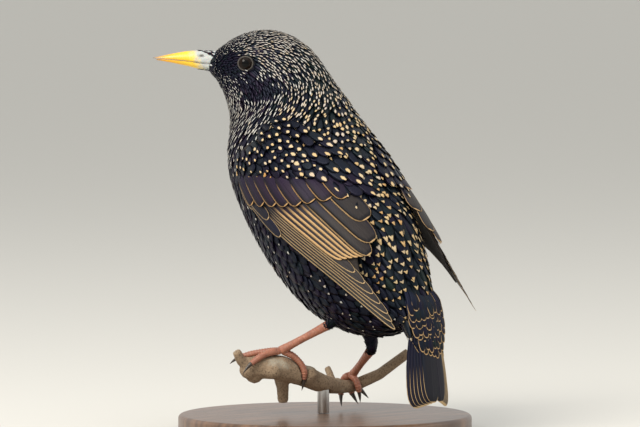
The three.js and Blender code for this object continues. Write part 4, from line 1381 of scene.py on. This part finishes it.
def bandsTree(name, material):
    # spheres strung along the edges of a mesh, flattened to bands as wide as its radius values
    tree = bpy.data.node_groups.new(name, "GeometryNodeTree")
    face = tree.interface
    face.new_socket("Geometry", in_out="INPUT", socket_type="NodeSocketGeometry")
    spacing = face.new_socket("Spacing", in_out="INPUT", socket_type="NodeSocketFloat")
    thick = face.new_socket("Thickness", in_out="INPUT", socket_type="NodeSocketFloat")
    face.new_socket("Geometry", in_out="OUTPUT", socket_type="NodeSocketGeometry")
    kinds = {
        "start": "NodeGroupInput", "end": "NodeGroupOutput",
        "toCurve": "GeometryNodeMeshToCurve", "resample": "GeometryNodeResampleCurve",
        "tangent": "GeometryNodeInputTangent", "align": "FunctionNodeAlignRotationToVector",
        "radius": "GeometryNodeInputNamedAttribute", "size": "ShaderNodeCombineXYZ",
        "ball": "GeometryNodeMeshUVSphere", "place": "GeometryNodeInstanceOnPoints",
        "realize": "GeometryNodeRealizeInstances", "shade": "GeometryNodeSetShadeSmooth",
        "finish": "GeometryNodeSetMaterial",
    }
    nodes = {label: tree.nodes.new(kind) for label, kind in kinds.items()}
    nodes["resample"].mode = "LENGTH"
    nodes["align"].axis = "Z"
    nodes["radius"].data_type = "FLOAT"
    for label, socket, value in (
        ("radius", "Name", "bandRadius"), ("ball", "Segments", 16), ("ball", "Rings", 8),
        ("ball", "Radius", 1.0), ("finish", "Material", material),
    ):
        nodes[label].inputs[socket].default_value = value
    for source, output, target, socket in (
        ("start", "Geometry", "toCurve", "Mesh"), ("toCurve", "Curve", "resample", "Curve"),
        ("start", "Spacing", "resample", "Length"), ("resample", "Curve", "place", "Points"),
        ("ball", "Mesh", "place", "Instance"), ("tangent", "Tangent", "align", "Vector"),
        ("align", "Rotation", "place", "Rotation"), ("radius", "Attribute", "size", "X"),
        ("radius", "Attribute", "size", "Y"), ("start", "Thickness", "size", "Z"),
        ("size", "Vector", "place", "Scale"), ("place", "Instances", "realize", "Geometry"),
        ("realize", "Geometry", "shade", "Geometry"), ("shade", "Geometry", "finish", "Geometry"),
        ("finish", "Geometry", "end", "Geometry"),
    ):
        tree.links.new(nodes[source].outputs[output], nodes[target].inputs[socket])
    return tree, spacing.identifier, thick.identifier


def bakedMesh(piece):
    graph = bpy.context.evaluated_depsgraph_get()
    made = bpy.data.meshes.new_from_object(piece.evaluated_get(graph))
    piece.modifiers.clear()
    piece.data = made
    made.name = piece.name
    return made


def bands(name, paths, material, spacing, thickness, slot, *nodes):
    # paths: lists of (point, radius) in millimetres
    mesh = bpy.data.meshes.new(name)
    points, edges, radii = [], [], []
    for path in paths:
        start = len(points)
        points += [tuple(np.asarray(p, float) * mm) for p, r in path]
        radii += [r * mm for p, r in path]
        edges += [(start + k, start + k + 1) for k in range(len(path) - 1)]
    mesh.from_pydata(points, edges, [])
    mesh.attributes.new("bandRadius", "FLOAT", "POINT").data.foreach_set("value", radii)
    piece = bpy.data.objects.new(name, mesh)
    bpy.context.scene.collection.objects.link(piece)
    tree, spacingSocket, thickSocket = bandsTree(name + "Tree", material)
    modifier = piece.modifiers.new("bands", "NODES")
    modifier.node_group = tree
    modifier[spacingSocket] = spacing * mm
    modifier[thickSocket] = thickness * mm
    bakedMesh(piece)
    return addPiece(piece, slot, *nodes)


def lidPath(side):
    path = []
    middle, wave = eye["lidBand"]
    for turn in np.linspace(0, fullTurn, 49):
        reach = headAhead * math.cos(turn) + upward * math.sin(turn) * eye["lidHeight"]
        path.append((lidMiddle(side) + reach * eye["lidReach"], middle + wave * math.sin(turn * 0.5)))
    return path


for side, label in sideNames.items():
    points, faces = closedLoft(sphereRings(eyeMiddle(side), headLeft * side, eye["radius"], 28, 40))
    solidPiece(f"eye{label}", points, faces, eyeShader(side), "eye", f"eye_{label.lower()}")
bands("eyelids", [lidPath(side) for side in sideNames], lidShader(), 0.34, 0.26, "eye")
print("head details are made")

# Legs, toes and claws; radii run from the root to the tip
limbs = {
    "tarsus": (1.75, 1.5, 1.32, 1.4, 1.7),
    "toe": (1.5, 1.48, 1.28, 1.35, 1.1),
    # direction in degrees, length and drop of the left foot's front toes
    "leftToes": [(-72, 12.5, 3.4), (-45, 15.5, 2.4), (-16, 12.5, 4.4)],
    "leftHind": [(-1, 0.5, -0.4), (-4.2, 2.6, -2.2), (-7.0, 4.4, -5.4), (-8.2, 5.2, -8.6),
                 (-8.6, 4.6, -11.4)],
    # the right toes wind round the thin twig: from and to in degrees, shift and run along it
    "rightToes": [(10, 125, 0.6, 3.8), (10, 140, 0, 0.2), (10, 125, -0.6, -3.8), (-10, -115, 0, 0.4)],
    "twigMiddle": np.array([-19.3, -3.9, 17.2]),
    "twigRun": unit(np.array([-18, 6, 4.6])),
    "twigReach": 4.55,
    # spacing and thickness of the raised bands
    "scutes": (1.05, 0.66),
    "plates": (2.2, 1.45),
}
claw = {
    "radii": [(-0.9, 0.75), (0, 0.86), (1.5, 0.68), (3.1, 0.40), (4.5, 0.06)],  # mm from the toe's end
    "start": 0.42,
    "curve": 0.096,
    "hook": 0.45,
    "droop": 0.75,
    "straight": 0.9,  # a toe that bends less than this only lets its claw droop
}


def legShader():
    shader = Shader("legSkin", Subsurface_Weight=0.15, Subsurface_Scale=0.001)
    coordinates = shader.place()
    blotch = shader.noise(420.0, 4.0, coordinates)
    fine = shader.noise(2600.0, 3.0, coordinates)
    warm = shader.blend(blotch, paint(0.20, 0.070, 0.050), paint(0.52, 0.22, 0.13))
    shader.feed("Base Color", shader.blend(fine.step(0.55, 0.75) * 0.5, warm, paint(0.16, 0.07, 0.055)))
    shader.feed("Roughness", fine * 0.25 + 0.32)
    shader.bump(fine + blotch, 0.3, 0.00025)
    return shader.material


def clawShader():
    shader = Shader("claw", Coat_Weight=0.2)
    grain = shader.noise(700.0, 3.0, shader.place((1, 1, 3)))
    shader.feed("Base Color", shader.blend(grain, paint(0.018, 0.013, 0.011), paint(0.075, 0.055, 0.042)))
    shader.feed("Roughness", grain * 0.2 + 0.3)
    shader.bump(grain, 0.2, 0.0002)
    return shader.material


def leftToes():
    foot = np.array(legs["left"]["foot"], float)
    toes = []
    for yaw, length, drop in limbs["leftToes"]:
        run = np.array([math.cos(math.radians(yaw)), math.sin(math.radians(yaw)), 0])
        toes.append([foot + run * (0.5 + length * t) + upward * (-0.2 - drop * t**2.2)
                     for t in (0, 0.28, 0.55, 0.8, 1)])
    return toes + [[foot + np.array(p) for p in limbs["leftHind"]]]


def rightToes():
    run, reach = limbs["twigRun"], limbs["twigReach"]
    ahead = unit(np.cross(upward, run))
    rise = unit(np.cross(run, ahead))
    rise = rise * np.sign(rise[2])
    toes = []
    for start, end, shift, out in limbs["rightToes"]:
        toe = []
        for t in (0, 0.25, 0.5, 0.75, 1):
            turn = math.radians(start + (end - start) * t)
            around = ahead * math.sin(turn) * reach + rise * math.cos(turn) * reach
            toe.append(limbs["twigMiddle"] + run * (shift + out * t) + around)
        toes.append(toe)
    return toes


def radiusAlong(key, count):
    radii = limbs[key]
    return np.interp(np.linspace(0, 1, count), np.linspace(0, 1, len(radii)), radii)


def makeClaw(name, node, toe, material):
    run = unit(toe[4] - toe[3])
    bend = run - unit(toe[1] - toe[0])
    size = np.linalg.norm(bend)
    hook = bend / size * claw["hook"] if size > claw["straight"] else upward * -claw["droop"]
    steps = np.linspace(claw["radii"][0][0], claw["radii"][-1][0], 16)
    path = [toe[4] + run * (claw["start"] + d) + hook * max(d, 0) ** 2 * claw["curve"] for d in steps]
    points, faces = closedLoft(tubeRings(path, tableAt(claw["radii"], steps), 16, 1.1))
    solidPiece(name, points, faces, material, "claw", node)


def makeLeg(name, toes, skinMaterial, clawMaterial):
    leg, label = legs[name], name.capitalize()
    path = np.array([legPlace(leg, share) for share in np.linspace(leg["cover"] - 0.05, 1.0, 30)])
    radii = radiusAlong("tarsus", len(path))
    points, faces = closedLoft(tubeRings(path, radii, 24, 1.12))
    solidPiece(f"tarsus{label}", points, faces, skinMaterial, "leg_skin", f"tarsus_{name}")
    lofts, scutes = [], []
    for k, toe in enumerate(toes):
        smooth, toeRadii = smoothPath(toe, 24), radiusAlong("toe", 24)
        lofts.append(closedLoft(tubeRings(smooth, toeRadii, 18, 0.95)))
        scutes.append([(p, r + 0.10) for p, r in zip(smooth[2:], toeRadii[2:])])
        makeClaw(f"claw{label}{k + 1}", f"claw_{name}_{k + 1}", toe, clawMaterial)
    points, faces = joinLofts(lofts)
    solidPiece(f"foot{label}", points, faces, skinMaterial, "leg_skin", f"foot_{name}")
    plates = [(p, r * 1.12 + 0.05) for p, r in zip(path[2:-3], radii[2:-3])]
    bands(f"toeScutes{label}", scutes, skinMaterial, *limbs["scutes"], "leg_skin", f"foot_{name}")
    bands(f"legPlates{label}", [plates], skinMaterial, *limbs["plates"], "leg_skin", f"tarsus_{name}")


legSkin, clawHorn = legShader(), clawShader()
makeLeg("left", leftToes(), legSkin, clawHorn)
makeLeg("right", rightToes(), legSkin, clawHorn)
print("legs are made")

# Perch and stand
perch = {
    "voxel": 0.55,
    "smoothing": 6,
    "waves": (1, 2, 3, 4),
    "waveHeight": 0.05,
}
stand = {
    "radius": 60,
    "height": 7,
    "roundEdge": 1.6,
    "lowEdge": 0.6,
    "pinY": -1,
    "pin": [(2.3, 7.25), (2.4, 7.4), (2.4, 17.3), (2.2, 17.5)],  # radius and height
}


def barkShader():
    shader = Shader("bark", Roughness=0.9)
    coordinates = shader.place()
    long = shader.noise(160.0, 5.0, coordinates)
    fine = shader.noise(1500.0, 5.0, coordinates, 0.65)
    lichen = shader.noise(90.0, 3.0, coordinates).step(0.58, 0.68)
    color = shader.blend(long, paint(0.20, 0.135, 0.085), paint(0.42, 0.31, 0.20))
    color = shader.blend(fine.step(0.45, 0.7), color, paint(0.12, 0.08, 0.05))
    color = shader.blend(lichen * fine.step(0.3, 0.6) * 0.6, color, paint(0.46, 0.44, 0.36))
    shader.feed("Base Color", color)
    shader.bump(fine + long, 0.8, 0.0006)
    return shader.material


def woodShader():
    shader = Shader("turnedWood", Coat_Weight=0.35, Coat_Roughness=0.25)
    lines = shader.noise(38.0, 6.0, shader.place((1, 9, 1)), 0.6)
    pores = shader.noise(420.0, 4.0, shader.place((1, 14, 1)))
    color = shader.blend(lines.step(0.35, 0.65), paint(0.075, 0.036, 0.018), paint(0.17, 0.088, 0.045))
    color = shader.blend(pores.step(0.52, 0.7) * 0.6, color, paint(0.045, 0.022, 0.012))
    shader.feed("Base Color", color)
    shader.feed("Roughness", pores * 0.2 + 0.3)
    shader.bump(pores + lines, 0.15, 0.0003)
    return shader.material


def rodShader():
    shader = Shader("brushedRod", Metallic=1.0)
    brush = shader.noise(300.0, 4.0, shader.place((1, 1, 12)))
    shader.feed("Base Color", shader.blend(brush, paint(0.45, 0.45, 0.44), paint(0.62, 0.62, 0.60)))
    shader.feed("Roughness", brush * 0.2 + 0.25)
    shader.bump(brush, 0.1, 0.0001)
    return shader.material


def makePerch():
    # a finer copy of the perch, with low waves in its bark
    piece = bpy.data.objects.new("branch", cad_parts["perch"].data.copy())
    bpy.context.scene.collection.objects.link(piece)
    piece.modifiers.new("weld", "WELD").merge_threshold = 1e-6
    remesh = piece.modifiers.new("remesh", "REMESH")
    remesh.mode, remesh.voxel_size, remesh.use_smooth_shade = "VOXEL", perch["voxel"] * mm, True
    piece.modifiers.new("smooth", "SMOOTH").iterations = perch["smoothing"]
    made = bakedMesh(piece)
    made.materials.clear()
    made.materials.append(barkShader())
    points, outward = np.zeros(len(made.vertices) * 3), np.zeros(len(made.vertices) * 3)
    made.vertices.foreach_get("co", points)
    made.vertices.foreach_get("normal", outward)
    points, outward = points.reshape(-1, 3), outward.reshape(-1, 3)
    waves = sum(np.sin(points @ rng.normal(0, 900 * k, 3) + rng.uniform(0, 6)) / k for k in perch["waves"])
    points += outward * (waves[:, None] - 1) * perch["waveHeight"] * mm
    made.vertices.foreach_set("co", points.ravel())
    made.update()
    return addPiece(piece, "bark", "perch")


def turnedPiece(name, outline, middleY, sides, material, slot, node):
    # outline: (radius, height) from the bottom's middle to the top's middle
    turn = np.linspace(0, fullTurn, sides, endpoint=False)
    rings = [[(r * math.cos(t), middleY + r * math.sin(t), z) for t in turn] for r, z in outline]
    piece = solidPiece(name, *closedLoft(rings), material, slot, node)
    piece.data.set_sharp_from_angle(angle=math.radians(40))


def makeStand():
    radius, height, edge, low = (stand[key] for key in ("radius", "height", "roundEdge", "lowEdge"))
    rim = [(radius - edge + edge * math.sin(t), height - edge + edge * math.cos(t))
           for t in np.linspace(math.pi / 2, 0, 9)]
    disc = [(radius - low, 0), (radius, low), *rim, (radius / 2, height)]
    turnedPiece("standDisc", disc, 0, 128, woodShader(), "stand_wood", "stand_base")
    turnedPiece("standPin", stand["pin"], stand["pinY"], 48, rodShader(), "rod", "stand_rod")


makePerch()
makeStand()
print("perch and stand are made")

print("everything is in place")
